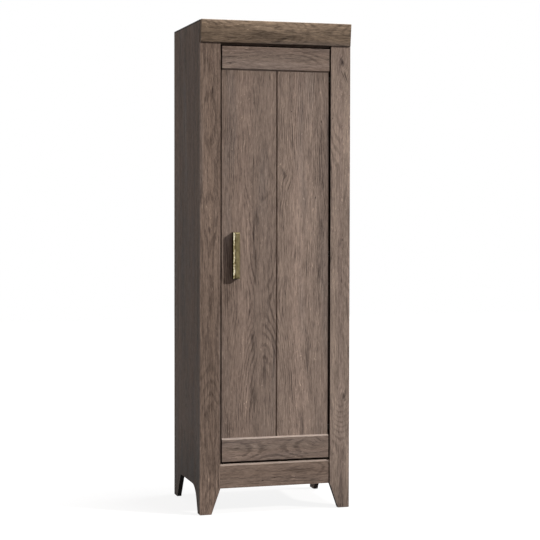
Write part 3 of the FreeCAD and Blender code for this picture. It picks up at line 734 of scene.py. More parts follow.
    def _marks(
        self, sheet: ShaderSheet, grain: Socket, across: Socket, bent: Socket
    ) -> tuple[object, object, Socket]:
        """Sets the marks on the board and leads the grain round the knots.

        Args:
            sheet: The material's tree.
            grain: Place along the grain.
            across: Place across the grain.
            bent: Place across the grain with its sway.

        Returns:
            The marks' darkness, their paleness, and the place across the grain led round them.
        """
        ragged_at = sheet.vector(sheet.times(across, 210.0), self.seed, sheet.times(grain, 34.0))
        ragged = sheet.maths("SUBTRACT", sheet.cloud(ragged_at, 1.0, 4.0, 0.7), 0.5)
        dark: object = 0.0
        pale: object = 0.0
        for mark in self.marks:
            off_along = sheet.maths("SUBTRACT", grain, mark.along)
            off_across = sheet.maths("SUBTRACT", across, mark.across)
            off_across = sheet.total(off_across, (off_along, -mark.slant))
            run = sheet.maths("DIVIDE", off_along, mark.stretch)
            squares = sheet.maths("MULTIPLY_ADD", off_across, off_across, sheet.times(run, run))
            distance = sheet.maths("DIVIDE", sheet.maths("SQRT", squares), mark.radius)
            torn = sheet.total(distance, (ragged, RAGGEDNESS))
            spot = sheet.spread(torn, 1.15, 0.1, 0.0, abs(mark.dark))
            if mark.dark > 0:
                dark = sheet.maths("MAXIMUM", dark, spot)
            else:
                pale = sheet.maths("MAXIMUM", pale, spot)
            if mark.flow:
                push = sheet.spread(distance, 4.5, 0.3, 0.0, mark.flow)
                bent = sheet.total(bent, (sheet.times(push, off_across), GRAIN_LEAD))
        return dark, pale, bent


@dataclass(frozen=True)
class PlatedSteel:
    """Plated steel with fine rolling marks and faint handling wear.

    Attributes:
        name: The material's name.
        light: Brighter tone.
        dark: Duller tone.
        rough: Middle roughness.
        rolling: How fine the rolling marks are along x, y and z, for each metre.
    """

    name: str
    light: Tone
    dark: Tone
    rough: float
    rolling: tuple[float, float, float] = (90.0, 90.0, 2600.0)

    def material(self) -> bpy.types.Material:
        """Builds the finish.

        Returns:
            The finished material.
        """
        sheet = ShaderSheet(self.name)
        place = sheet.place()
        marks = sheet.cloud(sheet.scaled(place, self.rolling), 1.0)
        wear_and_highlight = sheet.cloud(sheet.vector(*place), 160.0, 3.0, 0.6)
        mixed = sheet.total(0.0, (wear_and_highlight, 0.6), (marks, 0.4))
        tone = sheet.ramp(mixed, ((0.35, self.dark), (0.65, self.light)))
        rough = sheet.spread(wear_and_highlight, 0.3, 0.7, self.rough - 0.08, self.rough + 0.12)
        normal = sheet.relief(marks, 0.00003, 0.4)
        return sheet.surface(tone, rough, normal, Metallic=1.0)


@dataclass(frozen=True)
class AgedBrass:
    """Brass under an olive patina, rubbed bright by hands and hammer, or dark as painted shade; the rubbed
    tones also carry a painted reflection on the pull's left bevel.

    Attributes:
        name: The material's name.
        dark: Tone in the hollows.
        middle: Main tone.
        light: Tone of the rubbed spots.
        rough: Middle roughness.
        dents: Depth of the fine hammer marks, in metres.
        spot_scale: Spots in a metre, higher is finer.
        soft: How softly the tones change, lower is more speckled.
        brushing: How fine the brushed lines are along x, y and z, for each metre.
    """

    name: str
    dark: Tone
    middle: Tone
    light: Tone
    rough: float
    dents: float
    spot_scale: float = 420.0
    soft: float = 0.14
    brushing: tuple[float, float, float] = (1500.0, 1500.0, 60.0)

    def material(self) -> bpy.types.Material:
        """Builds the finish.

        Returns:
            The finished material.
        """
        sheet = ShaderSheet(self.name)
        place = sheet.place()
        at = sheet.vector(*place)
        brushed = sheet.cloud(sheet.scaled(place, self.brushing), 1.0, 2.0, 0.6)
        marks = sheet.cells(at, 260.0)
        spots = sheet.cloud(at, self.spot_scale, 3.0, 0.65)
        patina = sheet.cloud(at, 70.0, 3.0, 0.6)
        mixed = sheet.total(0.0, (patina, 0.35), (spots, 0.4), (brushed, 0.25))
        stops = ((0.5 - self.soft, self.dark), (0.5, self.middle), (0.5 + self.soft, self.light))
        tone = sheet.ramp(mixed, stops)
        rough = sheet.spread(spots, 0.3, 0.7, self.rough - 0.08, self.rough + 0.1)
        height = sheet.total(marks, (spots, 0.35), (brushed, 0.15))
        normal = sheet.relief(height, self.dents, 0.6)
        return sheet.surface(tone, rough, normal, Metallic=1.0)


@dataclass(frozen=True)
class MouldedPlastic:
    """Moulded plastic with a fine spark-eroded grain.

    Attributes:
        name: The material's name.
        tone: Its colour.
        lift: How much lighter its lightest patches are.
    """

    name: str
    tone: Tone
    lift: int = 18

    def material(self) -> bpy.types.Material:
        """Builds the finish.

        Returns:
            The finished material.
        """
        sheet = ShaderSheet(self.name)
        at = sheet.vector(*sheet.place())
        grain = sheet.cloud(at, 1800.0, 2.0)
        broad = sheet.cloud(at, 120.0, 2.0)
        lighter = tuple(min(255, value + self.lift) for value in self.tone)
        tone = sheet.ramp(broad, ((0.3, self.tone), (0.7, lighter)))
        rough = sheet.spread(grain, 0.3, 0.7, 0.48, 0.62)
        return sheet.surface(tone, rough, sheet.relief(grain, 0.00006, 0.5))


@dataclass(frozen=True)
class BareWood:
    """Unfinished softwood of blocks and dowels.

    Attributes:
        name: The material's name.
        grain: Axis that the grain follows.
        fine: Its fineness across the grain, for each metre.
        run: Its fineness along the grain, for each metre.
    """

    name: str
    grain: Axis
    fine: float = 70.0
    run: float = 4.0

    def material(self) -> bpy.types.Material:
        """Builds the finish.

        Returns:
            The finished material.
        """
        sheet = ShaderSheet(self.name)
        scales = [self.run if axis is self.grain else self.fine for axis in Axis]
        at = sheet.scaled(sheet.place(), scales)
        rings = sheet.cloud(at, 1.0, 3.0, 0.55, 0.8)
        fine = sheet.cloud(at, 9.0, 2.0, 0.6)
        mixed = sheet.total(0.0, (fine, 0.25), (rings, 0.75))
        tone = sheet.ramp(mixed, ((0.34, (154, 116, 74)), (0.5, (190, 154, 108)), (0.66, (208, 178, 134))))
        rough = sheet.spread(fine, 0.3, 0.7, 0.62, 0.75)
        return sheet.surface(tone, rough, sheet.relief(mixed, 0.0002, 0.5))


def drawn(
    name: str, mesh_maker: Callable[[bmesh.types.BMesh], None], smooth: bool = True
) -> bpy.types.Object:
    """Makes one mesh object and puts it in the scene.

    Args:
        name: The piece's name.
        mesh_maker: Function that fills the mesh.
        smooth: Whether its faces are shaded smoothly.

    Returns:
        The new object.
    """
    mesh = bpy.data.meshes.new(name)
    shape = bmesh.new()
    mesh_maker(shape)
    bmesh.ops.recalc_face_normals(shape, faces=shape.faces[:])
    for face in shape.faces:
        face.smooth = smooth
    shape.to_mesh(mesh)
    shape.free()
    piece = bpy.data.objects.new(name, mesh)
    bpy.context.scene.collection.objects.link(piece)
    return piece


WELD_REACH = 0.00001
SHARP_ANGLE = 35


def ease_edges(piece: bpy.types.Object, width: float, segments: int = 2) -> None:
    """Rounds a piece's sharp edges by a small width.

    Args:
        piece: The object.
        width: Width of the rounding, in metres.
        segments: Steps in the rounding.
    """
    weld = piece.modifiers.new("weld", "WELD")
    weld.merge_threshold = WELD_REACH
    bevel = piece.modifiers.new("eased edges", "BEVEL")
    bevel.width = width
    bevel.segments = segments
    bevel.limit_method = "ANGLE"
    bevel.angle_limit = math.radians(SHARP_ANGLE)
    bevel.harden_normals = True


def dress(piece: bpy.types.Object, material: bpy.types.Material) -> None:
    """Gives every slot of a piece one material.

    Args:
        piece: The object.
        material: Its material.
    """
    if not piece.material_slots:
        piece.data.materials.append(material)
    for slot in piece.material_slots:
        slot.material = material


BACKWARDS = (0, 1, 0)
DOWNWARDS = (0, 0, -1)


@dataclass(frozen=True)
class ScrewSeat:
    """Where a screw's head rests and which way its head points.

    Attributes:
        at: Middle of the seat, in metres.
        up: The way that the head points.
        turn: How far its recess is turned, in degrees.
    """

    at: tuple[float, float, float]
    up: tuple[float, float, float]
    turn: float = 0.0


@dataclass
class CrossHeadScrews:
    """Pan-headed wood screws with a cross recess.

    Attributes:
        name: The piece's name.
        stands_for: The node that these screws stand for, or none.
        body: The moving body that carries them.
        seats: One seat for each screw.
        radius: Head radius.
        height: Head height.
        shank: Shank radius.
        length: Shank length.
        sides: Points round the head and the shank.
    """

    name: str
    stands_for: Optional[str]
    body: str
    seats: list[ScrewSeat]
    radius: float = 0.0034
    height: float = 0.0016
    shank: float = 0.0017
    length: float = 0.013
    sides: int = 32

    def build(self, finish: bpy.types.Material) -> bpy.types.Object:
        """Builds all the screws as one piece.

        Args:
            finish: Their material.

        Returns:
            The piece.
        """
        piece = drawn(self.name, self._mesh)
        dress(piece, finish)
        if self.stands_for:
            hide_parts(self.stands_for)
        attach(piece, self.body)
        LOG.info("%s: %d screws", self.name, len(self.seats))
        return piece

    def _mesh(self, shape: bmesh.types.BMesh) -> None:
        """Adds every screw to the mesh.

        Args:
            shape: The mesh.
        """
        for seat in self.seats:
            turn = Vector((0, 0, 1)).rotation_difference(Vector(seat.up)).to_matrix().to_4x4()
            matrix = Matrix.Translation(seat.at) @ turn @ Matrix.Rotation(math.radians(seat.turn), 4, "Z")
            self._screw(shape, matrix)

    def _screw(self, shape: bmesh.types.BMesh, matrix: Matrix) -> None:
        """Adds one screw: domed head, cross recess, tapered shank.

        Args:
            shape: The mesh.
            matrix: Puts the screw on its seat.
        """
        r, h = self.radius, self.height
        rows = (
            (0.14 * r, 1.0 * h), (0.28 * r, 1.0 * h), (0.42 * r, 0.99 * h), (0.56 * r, 0.96 * h),
            (0.74 * r, 0.88 * h), (0.9 * r, 0.68 * h), (1.0 * r, 0.34 * h), (1.0 * r, 0.0),
            (self.shank, 0.0), (self.shank, -0.8 * self.length), (0.15 * self.shank, -self.length),
        )
        rings = []
        for radius, height in rows:
            ring = []
            for step in range(self.sides):
                angle = 2 * math.pi * step / self.sides
                x, y = radius * math.cos(angle), radius * math.sin(angle)
                z = height - self._recess(x, y) if height > 0.9 * h else height
                ring.append(shape.verts.new(matrix @ Vector((x, y, z))))
            rings.append(ring)
        for upper, lower in zip(rings, rings[1:]):
            for step in range(self.sides):
                after = (step + 1) % self.sides
                shape.faces.new((upper[step], upper[after], lower[after], lower[step]))
        shape.faces.new(rings[0])
        shape.faces.new(rings[-1])

    def _recess(self, x: float, y: float) -> float:
        """Gives the depth of the cross recess at a place on the head.

        Args:
            x: Place across the head.
            y: Place up the head.

        Returns:
            Depth below the dome.
        """
        arm, half = 0.5 * self.radius, 0.16 * self.radius
        inside = (abs(x) < arm and abs(y) < half) or (abs(y) < arm and abs(x) < half)
        return 0.6 * self.height if inside else 0.0


LEFT_FACING = -0.4


@dataclass
class BarPull:
    """Hammered brass pull: a deep bar, bevelled all round its front.

    Attributes:
        bevel: Width of the bevels round the front of the bar.
        edge: Rounding of the edges.
        dent: Depth of the hammer marks.
        dent_rows: Steps across a bevel, which carry the hammer marks.
        broad: Fineness of the large hammer marks, for each metre.
        fine: Fineness of the small ones, for each metre.
        step: Spacing of the mesh's points.
    """

    bevel: float = 0.005
    edge: float = 0.0005
    dent: float = 0.00035
    dent_rows: int = 4
    broad: float = 330.0
    fine: float = 780.0
    step: float = 0.0023

    def build(
        self, patina: bpy.types.Material, wear_and_highlight: bpy.types.Material, painted_shade_brass: bpy.types.Material
    ) -> bpy.types.Object:
        """Builds the pull in its node's place.

        Args:
            patina: Finish of its front.
            wear_and_highlight: Finish of its hammered left bevel, partly wear and partly a painted
                reflection.
            painted_shade_brass: Finish of its sides, dark as painted shade, and of a narrow strip of its
                front beside the left bevel.

        Returns:
            The piece.
        """
        low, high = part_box("door_pull")
        piece = drawn("hammered_pull", lambda shape: self._mesh(shape, low, high))
        for finish in (patina, wear_and_highlight, painted_shade_brass):
            piece.data.materials.append(finish)
        front_left = low.x + self.bevel + self.edge
        for face in piece.data.polygons:
            # The sides and a narrow strip of the front beside the left bevel get the brass that is painted
            # shade
            back = face.center.y - low.y
            if back > self.bevel + self.edge or front_left < face.center.x < front_left + self.step:
                face.material_index = 2
            # Faces turned to the left get the rubbed brass with its painted reflection
            elif face.normal.x < LEFT_FACING:
                face.material_index = 1
        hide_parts("door_pull")
        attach(piece, "door")
        LOG.info("pull: %d faces", len(piece.data.polygons))
        return piece

    def _mesh(self, shape: bmesh.types.BMesh, low: Vector, high: Vector) -> None:
        """Lays rings round the bar from its front face to its back.

        Args:
            shape: The mesh.
            low: The node's lowest corner.
            high: The node's highest corner.
        """
        half_x = (high.x - low.x) / 2
        half_z = (high.z - low.z) / 2
        centre = Vector(((low.x + high.x) / 2, 0, (low.z + high.z) / 2))
        e = self.edge
        inset = self.bevel
        rows: list[tuple[float, float]] = [(inset + e, 0.0), (inset - e * 0.3, e * 0.35)]
        for index in range(1, self.dent_rows):
            share = index / self.dent_rows
            rows.append((inset * (1 - share), inset * share))
        rows += [(e * 0.3, inset - e * 0.5), (0.0, inset + e * 0.5), (0.0, high.y - low.y)]
        rings = [self._ring(shape, centre, half_x, half_z, narrow, low.y + back) for narrow, back in rows]
        face_rows = self._front(shape, centre, half_x - inset - e, half_z - inset - e, low.y)
        self._stitch(shape, face_rows, rings[0])
        for first, second in zip(rings, rings[1:]):
            self._stitch(shape, first, second)
        shape.faces.new(rings[-1])
        for vert in shape.verts:
            self._hammer(vert, low, centre, half_x, half_z)

    def _counts(self, half_x: float, half_z: float) -> tuple[int, int]:
        """Gives the numbers of steps across and along the bar."""
        return max(4, round(2 * half_x / self.step)), max(8, round(2 * half_z / self.step))

    def _ring(
        self, shape: bmesh.types.BMesh, centre: Vector, half_x: float, half_z: float, narrow: float, y: float
    ) -> list[bmesh.types.BMVert]:
        """Adds a rectangle of points round the bar.

        Args:
            shape: The mesh.
            centre: The bar's centre line.
            half_x: Half of the bar's width.
            half_z: Half of its length.
            narrow: How far this ring stands inside the bar's outline.
            y: Its depth.

        Returns:
            The ring's points in order.
        """
        across, along = self._counts(half_x, half_z)
        x, z = half_x - narrow, half_z - narrow
        points = [(-x + 2 * x * i / across, -z) for i in range(across)]
        points += [(x, -z + 2 * z * i / along) for i in range(along)]
        points += [(x - 2 * x * i / across, z) for i in range(across)]
        points += [(-x, z - 2 * z * i / along) for i in range(along)]
        return [shape.verts.new((centre.x + px, y, centre.z + pz)) for px, pz in points]

    def _front(
        self, shape: bmesh.types.BMesh, centre: Vector, half_x: float, half_z: float, y: float
    ) -> list[bmesh.types.BMVert]:
        """Adds the flat front face as a grid.

        Args:
            shape: The mesh.
            centre: The bar's centre line.
            half_x: Half of the face's width.
            half_z: Half of its length.
            y: Its depth.

        Returns:
            The grid's rim, in the order of a ring.
        """
        across, along = self._counts(half_x + self.bevel + self.edge, half_z + self.bevel + self.edge)
        x, z = half_x - self.edge, half_z - self.edge
        grid = [
            [shape.verts.new((centre.x - x + 2 * x * i / across, y, centre.z - z + 2 * z * j / along))
             for i in range(across + 1)]
            for j in range(along + 1)
        ]
        for j in range(along):
            for i in range(across):
                shape.faces.new((grid[j][i], grid[j][i + 1], grid[j + 1][i + 1], grid[j + 1][i]))
        rim = [grid[0][i] for i in range(across)]
        rim += [grid[j][across] for j in range(along)]
        rim += [grid[along][across - i] for i in range(across)]
        rim += [grid[along - j][0] for j in range(along)]
        return rim

    def _stitch(
        self, shape: bmesh.types.BMesh, first: list[bmesh.types.BMVert], second: list[bmesh.types.BMVert]
    ) -> None:
        """Joins two rings of equal count.

        Args:
            shape: The mesh.
            first: One ring's points.
            second: The other's.
        """
        count = len(first)
        for index in range(count):
            after = (index + 1) % count
            shape.faces.new((first[index], first[after], second[after], second[index]))

    def _hammer(
        self, vert: bmesh.types.BMVert, low: Vector, centre: Vector, half_x: float, half_z: float
    ) -> None:
        """Dents a point of the bevels, inwards only.

        Args:
            vert: The point.
            low: The node's lowest corner.
            centre: The bar's centre line.
            half_x: Half of the bar's width.
            half_z: Half of its length.
        """
        back = vert.co.y - low.y
        if not 0.0 < back < self.bevel * 1.05:
            return
        wave = noise.noise(vert.co * self.broad) * 0.6 + noise.noise(vert.co * self.fine) * 0.4
        depth = self.dent * (0.5 + wave)
        side = vert.co - centre
        inwards = Vector((-math.copysign(1, side.x), 0, 0))
        if half_z - abs(side.z) < half_x - abs(side.x):
            inwards = Vector((0, 0, -math.copysign(1, side.z)))
        vert.co += (inwards + Vector((0, 1, 0))).normalized() * max(0.0, depth)


@dataclass
class Hinges:
    """The three concealed hinges: their finish, screws and adjusting screws.

    Attributes:
        names: The hinges, from the floor up.
        ease: Rounding of their edges, in metres.
        flange: Thickness of a cup's flange on the door's back, in metres.
        flange_reach: From a cup's middle up or down to a flange screw, in metres.
        plate: Thickness of a mounting plate, in metres.
        plate_margin: Least metal past a plate screw's head, in metres.
        clamp_reach: From a plate's end to its arm's clamp screw, in metres.
        adjuster_reach: From an arm's end to its side-adjusting screw, in metres.
        adjuster_sink: How far that screw's seat lies below the arm's top, in metres.
        adjuster_radius: Its head radius, in metres.
        adjuster_height: Its head height, in metres.
        adjuster_shank: Its shank radius, in metres.
        adjuster_length: Its shank length, in metres.
    """

    names: tuple[str, ...] = ("lower", "middle", "upper")
    ease: float = 0.00025
    flange: float = 0.0012
    flange_reach: float = 0.024
    plate: float = 0.0015
    plate_margin: float = 0.0015
    clamp_reach: float = 0.02
    adjuster_reach: float = 0.034
    adjuster_sink: float = 0.0003
    adjuster_radius: float = 0.0027
    adjuster_height: float = 0.0009
    adjuster_shank: float = 0.0012
    adjuster_length: float = 0.002

    def dress(self, nickel: bpy.types.Material, plated: bpy.types.Material) -> None:
        """Gives the hinge nodes their finish and adds their small pieces.

        Args:
            nickel: Finish of the hinges.
            plated: Finish of the screws.
        """
        for name in self.names:
            for part in ("cup", "link", "arm", "plate"):
                node = frame["nodes"][f"{name}_hinge_{part}"]
                dress(node, nickel)
                ease_edges(node, self.ease, 1)
        self._cup_screws(plated)
        self._plate_screws(plated)
        self._adjusters(plated)
        LOG.info("hinges: %d", len(self.names))

    def _middle(self, node: str) -> Vector:
        """Gives the middle of a node's box."""
        low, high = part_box(node)
        return (low + high) / 2

    def _cup_screws(self, plated: bpy.types.Material) -> None:
        """Puts two screws in each cup's flange.

        Args:
            plated: Finish of the screws.
        """
        seats = []
        wing_x = self._middle("hinge_cup_screws").x
        flange_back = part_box("door_panel")[1].y + self.flange
        for number, name in enumerate(self.names):
            middle = self._middle(f"{name}_hinge_cup")
            for side in (-1, 1):
                at = (wing_x, flange_back, middle.z + side * self.flange_reach)
                seats.append(ScrewSeat(at, BACKWARDS, 20.0 + 37.0 * number + 50.0 * side))
        CrossHeadScrews("cup_screws", "hinge_cup_screws", "door", seats).build(plated)

    def _plate_screws(self, plated: bpy.types.Material) -> None:
        """Puts two screws in each plate and a clamp screw on each arm.

        Args:
            plated: Finish of the screws.
        """
        seats = []
        for number, name in enumerate(self.names):
            low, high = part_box(f"{name}_hinge_plate")
            middle = self._middle(f"{name}_hinge_plate")
            arm_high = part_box(f"{name}_hinge_arm")[1]
            reach = (high.z - low.z) / 2 - CrossHeadScrews.radius - self.plate_margin
            for side in (-1, 1):
                at = (middle.x, low.y + self.plate, middle.z + side * reach)
                seats.append(ScrewSeat(at, BACKWARDS, 12.0 + 61.0 * number + 33.0 * side))
            at = (low.x + self.clamp_reach, arm_high.y, middle.z)
            seats.append(ScrewSeat(at, BACKWARDS, 45.0 - 25.0 * number))
        CrossHeadScrews("plate_screws", "hinge_plate_screws", "carcass", seats).build(plated)

    def _adjusters(self, plated: bpy.types.Material) -> None:
        """Adds the side-adjusting screw in the web of each arm.

        Args:
            plated: Finish of the screws.
        """
        seats = []
        for number, name in enumerate(self.names):
            low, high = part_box(f"{name}_hinge_arm")
            middle = self._middle(f"{name}_hinge_arm")
            at = (low.x + self.adjuster_reach, high.y - self.adjuster_sink, middle.z)
            seats.append(ScrewSeat(at, BACKWARDS, 70.0 * number))
        CrossHeadScrews(
            "arm_adjusting_screws", None, "carcass", seats,
            self.adjuster_radius, self.adjuster_height, self.adjuster_shank, self.adjuster_length,
        ).build(plated)


@dataclass
class Fasteners:
    """The screws of the pull, the door stops and the wall bracket.

    Attributes:
        pull_radius: Head radius of the pull's screws, in metres.
        pull_height: Their head height, in metres.
        pull_shank: Their shank radius, in metres.
        pull_length: Their shank length, in metres.
    """

    pull_radius: float = 0.0045
    pull_height: float = 0.0024
    pull_shank: float = 0.0019
    pull_length: float = 0.027

    def build(self, plated: bpy.types.Material) -> None:
        """Builds each set in its node's place.

        Args:
            plated: Their finish.
        """
        seats = self._pair("pull_screws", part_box("door_panel")[1].y, self.pull_radius, (15.0, 62.0))
        CrossHeadScrews(
            "pull_fixings", "pull_screws", "door", seats,
            self.pull_radius, self.pull_height, self.pull_shank, self.pull_length,
        ).build(plated)
        seat_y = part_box("door_stop_screws")[1].y - CrossHeadScrews.height
        seats = self._pair("door_stop_screws", seat_y, CrossHeadScrews.radius, (30.0, 75.0))
        CrossHeadScrews("stop_fixings", "door_stop_screws", "carcass", seats).build(plated)
        low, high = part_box("wall_bracket_screw")
        at = ((low.x + high.x) / 2, (low.y + high.y) / 2, low.z + CrossHeadScrews.height)
        seats = [ScrewSeat(at, DOWNWARDS, 20.0)]
        CrossHeadScrews("bracket_fixing", "wall_bracket_screw", "carcass", seats).build(plated)

    def _pair(self, node: str, y: float, inset: float, turns: tuple[float, float]) -> list[ScrewSeat]:
        """Seats two screws at the lower and upper end of a node's box.

        Args:
            node: The node that the screws stand for.
            y: Depth of their seats.
            inset: From the box's ends to the screws' middles.
            turns: How far each recess is turned, in degrees.

        Returns:
            The two seats.
        """
        low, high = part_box(node)
        x = (low.x + high.x) / 2
        heights = (low.z + inset, high.z - inset)
        return [ScrewSeat((x, y, z), BACKWARDS, turn) for z, turn in zip(heights, turns)]


@dataclass
class Boards:
    """The cabinet's boards and their prints.

    Attributes:
        ease: Rounding of the boards' edges, in metres.
    """

    ease: float = 0.0006

    def dress(self) -> None:
        """Gives each board its print and eased edges."""
        for oak in (*self._front(), *self._door(), *self._inner()):
            node = frame["nodes"][oak.node]
            dress(node, oak.material())
            if not oak.plain_back:
                ease_edges(node, self.ease)
            LOG.info("board: %s", oak.node)

    def _front(self) -> list[OakPrint]:
        """Lists the boards of the front frame.

        Returns:
            Their prints.
        """
        left_marks = (
            Mark(1.043, -0.253, 0.007, 0.75, 3.0), Mark(1.55, -0.241, 0.003, 0.9, 9.0),
            Mark(0.131, -0.255, 0.003, -0.9, 4.0, 0.0, 0.2), Mark(0.363, -0.262, 0.006, 0.5, 5.0),
        )
        right_marks = (
            Mark(1.668, 0.256, 0.009, 0.85, 2.6, 0.9, -0.3), Mark(1.613, 0.27, 0.003, 0.8, 10.0, 0.0, -0.35),
            Mark(1.623, 0.258, 0.0025, 0.8, 12.0, 0.0, -0.4), Mark(1.459, 0.219, 0.003, 0.8, 1.6),
            Mark(1.007, 0.259, 0.004, 0.85, 1.8, 0.5), Mark(0.993, 0.247, 0.012, 0.35, 2.0),
            Mark(0.419, 0.266, 0.008, 0.6, 3.0, 0.9, -0.3), Mark(0.206, 0.224, 0.003, 0.8, 1.6),
        )
        fascia_marks = (
            Mark(0.047, 1.775, 0.004, 0.8, 7.0), Mark(0.115, 1.764, 0.003, 0.8, 6.0),
            Mark(-0.17, 1.747, 0.0025, 0.6, 9.0), Mark(0.2, 1.793, 0.002, -0.5, 7.0),
        )
        kick_marks = (
            Mark(-0.049, 0.118, 0.003, 0.8, 2.0), Mark(-0.003, 0.127, 0.003, 0.7, 2.0),
            Mark(0.1, 0.153, 0.004, 0.4, 6.0),
        )
        return [
            # The left stile's darker tone and the right stile's lighter one are partly the print's own and
            # partly painted light falling off from the right; both stiles' inner edges get painted shade
            # beside the door's gap
            OakPrint(
                "left_stile", Lie.UPRIGHT, -0.252, 0.6, 1.3, (110, 95, 85), left_marks,
                tones=((0.05, 1.3), (0.2, 1.0), (0.6, 0.9), (1.25, 1.15), (1.5, 1.05)),
                contrast=1.0, gap_shade_side=0.97,
            ),
            OakPrint(
                "right_stile", Lie.UPRIGHT, 0.255, 0.8, 4.6, (135, 120, 110), right_marks,
                tones=((0.05, 0.7), (0.2, 1.0), (1.1, 0.95), (1.3, 1.1), (1.7, 0.9)), gap_shade_side=-0.97,
            ),
            OakPrint(
                "top_fascia", Lie.LEVEL, 1.763, 0.7, 2.2, (115, 100, 85), fascia_marks,
                stripes=((0.0, 0.85), (0.1, 1.0), (0.5, 0.95), (1.0, 1.2)), contrast=1.0, run=17.0,
            ),
            OakPrint("header_rail", Lie.LEVEL, 1.7, 0.6, 8.1),
            OakPrint(
                "kick_rail", Lie.LEVEL, 0.153, 1.1, 5.5, (115, 100, 90), kick_marks, contrast=0.75, run=14.0
            ),
        ]

    def _door(self) -> list[OakPrint]:
        """Lists the boards of the door.

        Returns:
            Their prints.
        """
        panel_marks = (
            Mark(1.09, -0.072, 0.011, 0.62, 5.0), Mark(1.023, -0.085, 0.004, 0.7, 9.0),
            Mark(0.646, -0.091, 0.008, 0.55, 4.0), Mark(1.293, -0.083, 0.003, 0.7, 10.0),
            Mark(1.257, 0.03, 0.012, 0.7, 2.2, 0.8, -0.25), Mark(1.482, 0.061, 0.003, 0.9, 1.6, 0.5),
            Mark(1.447, 0.176, 0.003, 0.9, 2.5, 0.4), Mark(1.164, 0.154, 0.003, 0.85, 1.6, 0.5),
            Mark(0.621, 0.068, 0.003, 0.85, 2.0, 0.5), Mark(1.413, 0.178, 0.006, 0.5, 8.0),
            Mark(1.401, 0.101, 0.0022, -1.0, 2.5, 0.0, 0.3), Mark(1.16, 0.109, 0.003, -1.0, 2.0, 0.0, -0.3),
            Mark(0.914, 0.143, 0.002, -1.0, 6.0, 0.0, -0.35), Mark(1.557, 0.172, 0.0025, -0.9, 3.0),
            Mark(1.203, 0.146, 0.002, -0.8, 4.0), Mark(0.753, 0.138, 0.002, -0.8, 5.0, 0.0, 0.3),
            Mark(1.059, 0.178, 0.01, 0.4, 5.0), Mark(0.883, 0.17, 0.008, 0.4, 5.0),
        )
        top_marks = (Mark(-0.176, 1.654, 0.0035, 0.9, 2.2, 0.9),)
        low_marks = (Mark(0.155, 0.255, 0.009, 0.5, 2.0, 1.0, 0.2), Mark(-0.084, 0.249, 0.0025, -0.7, 9.0))
        return [
            # The panel drifts to a lighter tone towards its right edge: partly the print's own and partly
            # painted light falling off from the right
            OakPrint(
                "door_panel", Lie.UPRIGHT, -0.049, 1.0, 3.7, FRONT_TONE, panel_marks, (135, 120, 110),
                ((0.0, 1.0), (0.25, 1.05), (0.3, 0.95), (0.6, 1.0), (0.7, 1.1), (0.85, 1.0), (1.0, 0.9)),
            ),
            OakPrint("door_top_rail", Lie.LEVEL, 1.643, 0.8, 6.4, FRONT_TONE, top_marks, run=16.0),
            # Its up-facing bevel gets a weaker painted highlight
            OakPrint(
                "door_bottom_rail", Lie.LEVEL, 0.238, 1.1, 7.9, FRONT_TONE, low_marks,
                contrast=0.8, run=14.0, wear_and_highlight=0.42,
            ),
        ]

    def _inner(self) -> list[OakPrint]:
        """Lists the ends, the level panels, the shelves and the back.

        Returns:
            Their prints.
        """
        boards = [
            # The left end panel's darker tone is painted shade, for the side that faces away from the key
            # lamp
            OakPrint(
                "left_end_panel", Lie.END, 0.02, 0.5, 9.1, (90, 75, 65),
                tones=((0.1, 0.5), (0.35, 0.95), (0.9, 0.85), (1.2, 1.05)), contrast=1.6, dark_rim=True,
            ),
            OakPrint("right_end_panel", Lie.END, 0.06, 0.7, 10.3, dark_rim=True),
        ]
        for name, seed in (("top_panel", 11.7), ("bottom_panel", 12.9), ("fixed_shelf", 14.2)):
            boards.append(OakPrint(name, Lie.FLAT, 0.0, 0.6, seed))
        for number in SHELVES:
            boards.append(OakPrint(f"adjustable_shelf_{number}", Lie.FLAT, 0.05, 0.6, 15.0 + 1.3 * number))
        for name, seed in (("upper_back_panel", 21.0), ("lower_back_panel", 22.5)):
            boards.append(OakPrint(name, Lie.UPRIGHT, 0.1, 0.5, seed, plain_back=True))
        return boards


@dataclass
class SmallNodes:
    """The other nodes that keep their shape and get a finish.

    Attributes:
        pin_ease: Rounding of the shelf pins' edges, in metres.
        trim_ease: Rounding of the bracket's and the door stops' edges, in metres.
        block_ease: Rounding of the blocks' edges, in metres.
    """

    pin_ease: float = 0.0002
    trim_ease: float = 0.0003
    block_ease: float = 0.0006

    def dress(self) -> None:
        """Gives each its finish."""
        nodes = frame["nodes"]
        zinc = PlatedSteel("zinc plate", (176, 178, 180), (128, 130, 134), 0.36).material()
        cast = PlatedSteel("cast zinc", (150, 151, 152), (112, 113, 115), 0.5).material()
        plastic = MouldedPlastic("brown plastic", (52, 38, 30)).material()
        wood = BareWood("bare softwood", Axis.X).material()
        peg = BareWood("dowel wood", Axis.Y).material()
        for number in SHELVES:
            dress(nodes[f"shelf_{number}_pins"], zinc)
            ease_edges(nodes[f"shelf_{number}_pins"], self.pin_ease, 1)
        for name, finish in (
            ("wall_bracket", zinc), ("back_nails", zinc), ("cam_bolts", zinc), ("cam_locks", cast),
            ("block_screws", zinc), ("stile_dowels", peg),
            ("fascia_blocks", wood), ("kick_rail_blocks", wood),
            ("lower_door_stop", plastic), ("upper_door_stop", plastic),
            ("front_left_glide", plastic), ("front_right_glide", plastic),
            ("back_left_glide", plastic), ("back_right_glide", plastic),
        ):
            dress(nodes[name], finish)
        for name in ("wall_bracket", "lower_door_stop", "upper_door_stop"):
            ease_edges(nodes[name], self.trim_ease, 1)
        for name in ("fascia_blocks", "kick_rail_blocks"):
            ease_edges(nodes[name], self.block_ease, 1)
        LOG.info("small nodes dressed")


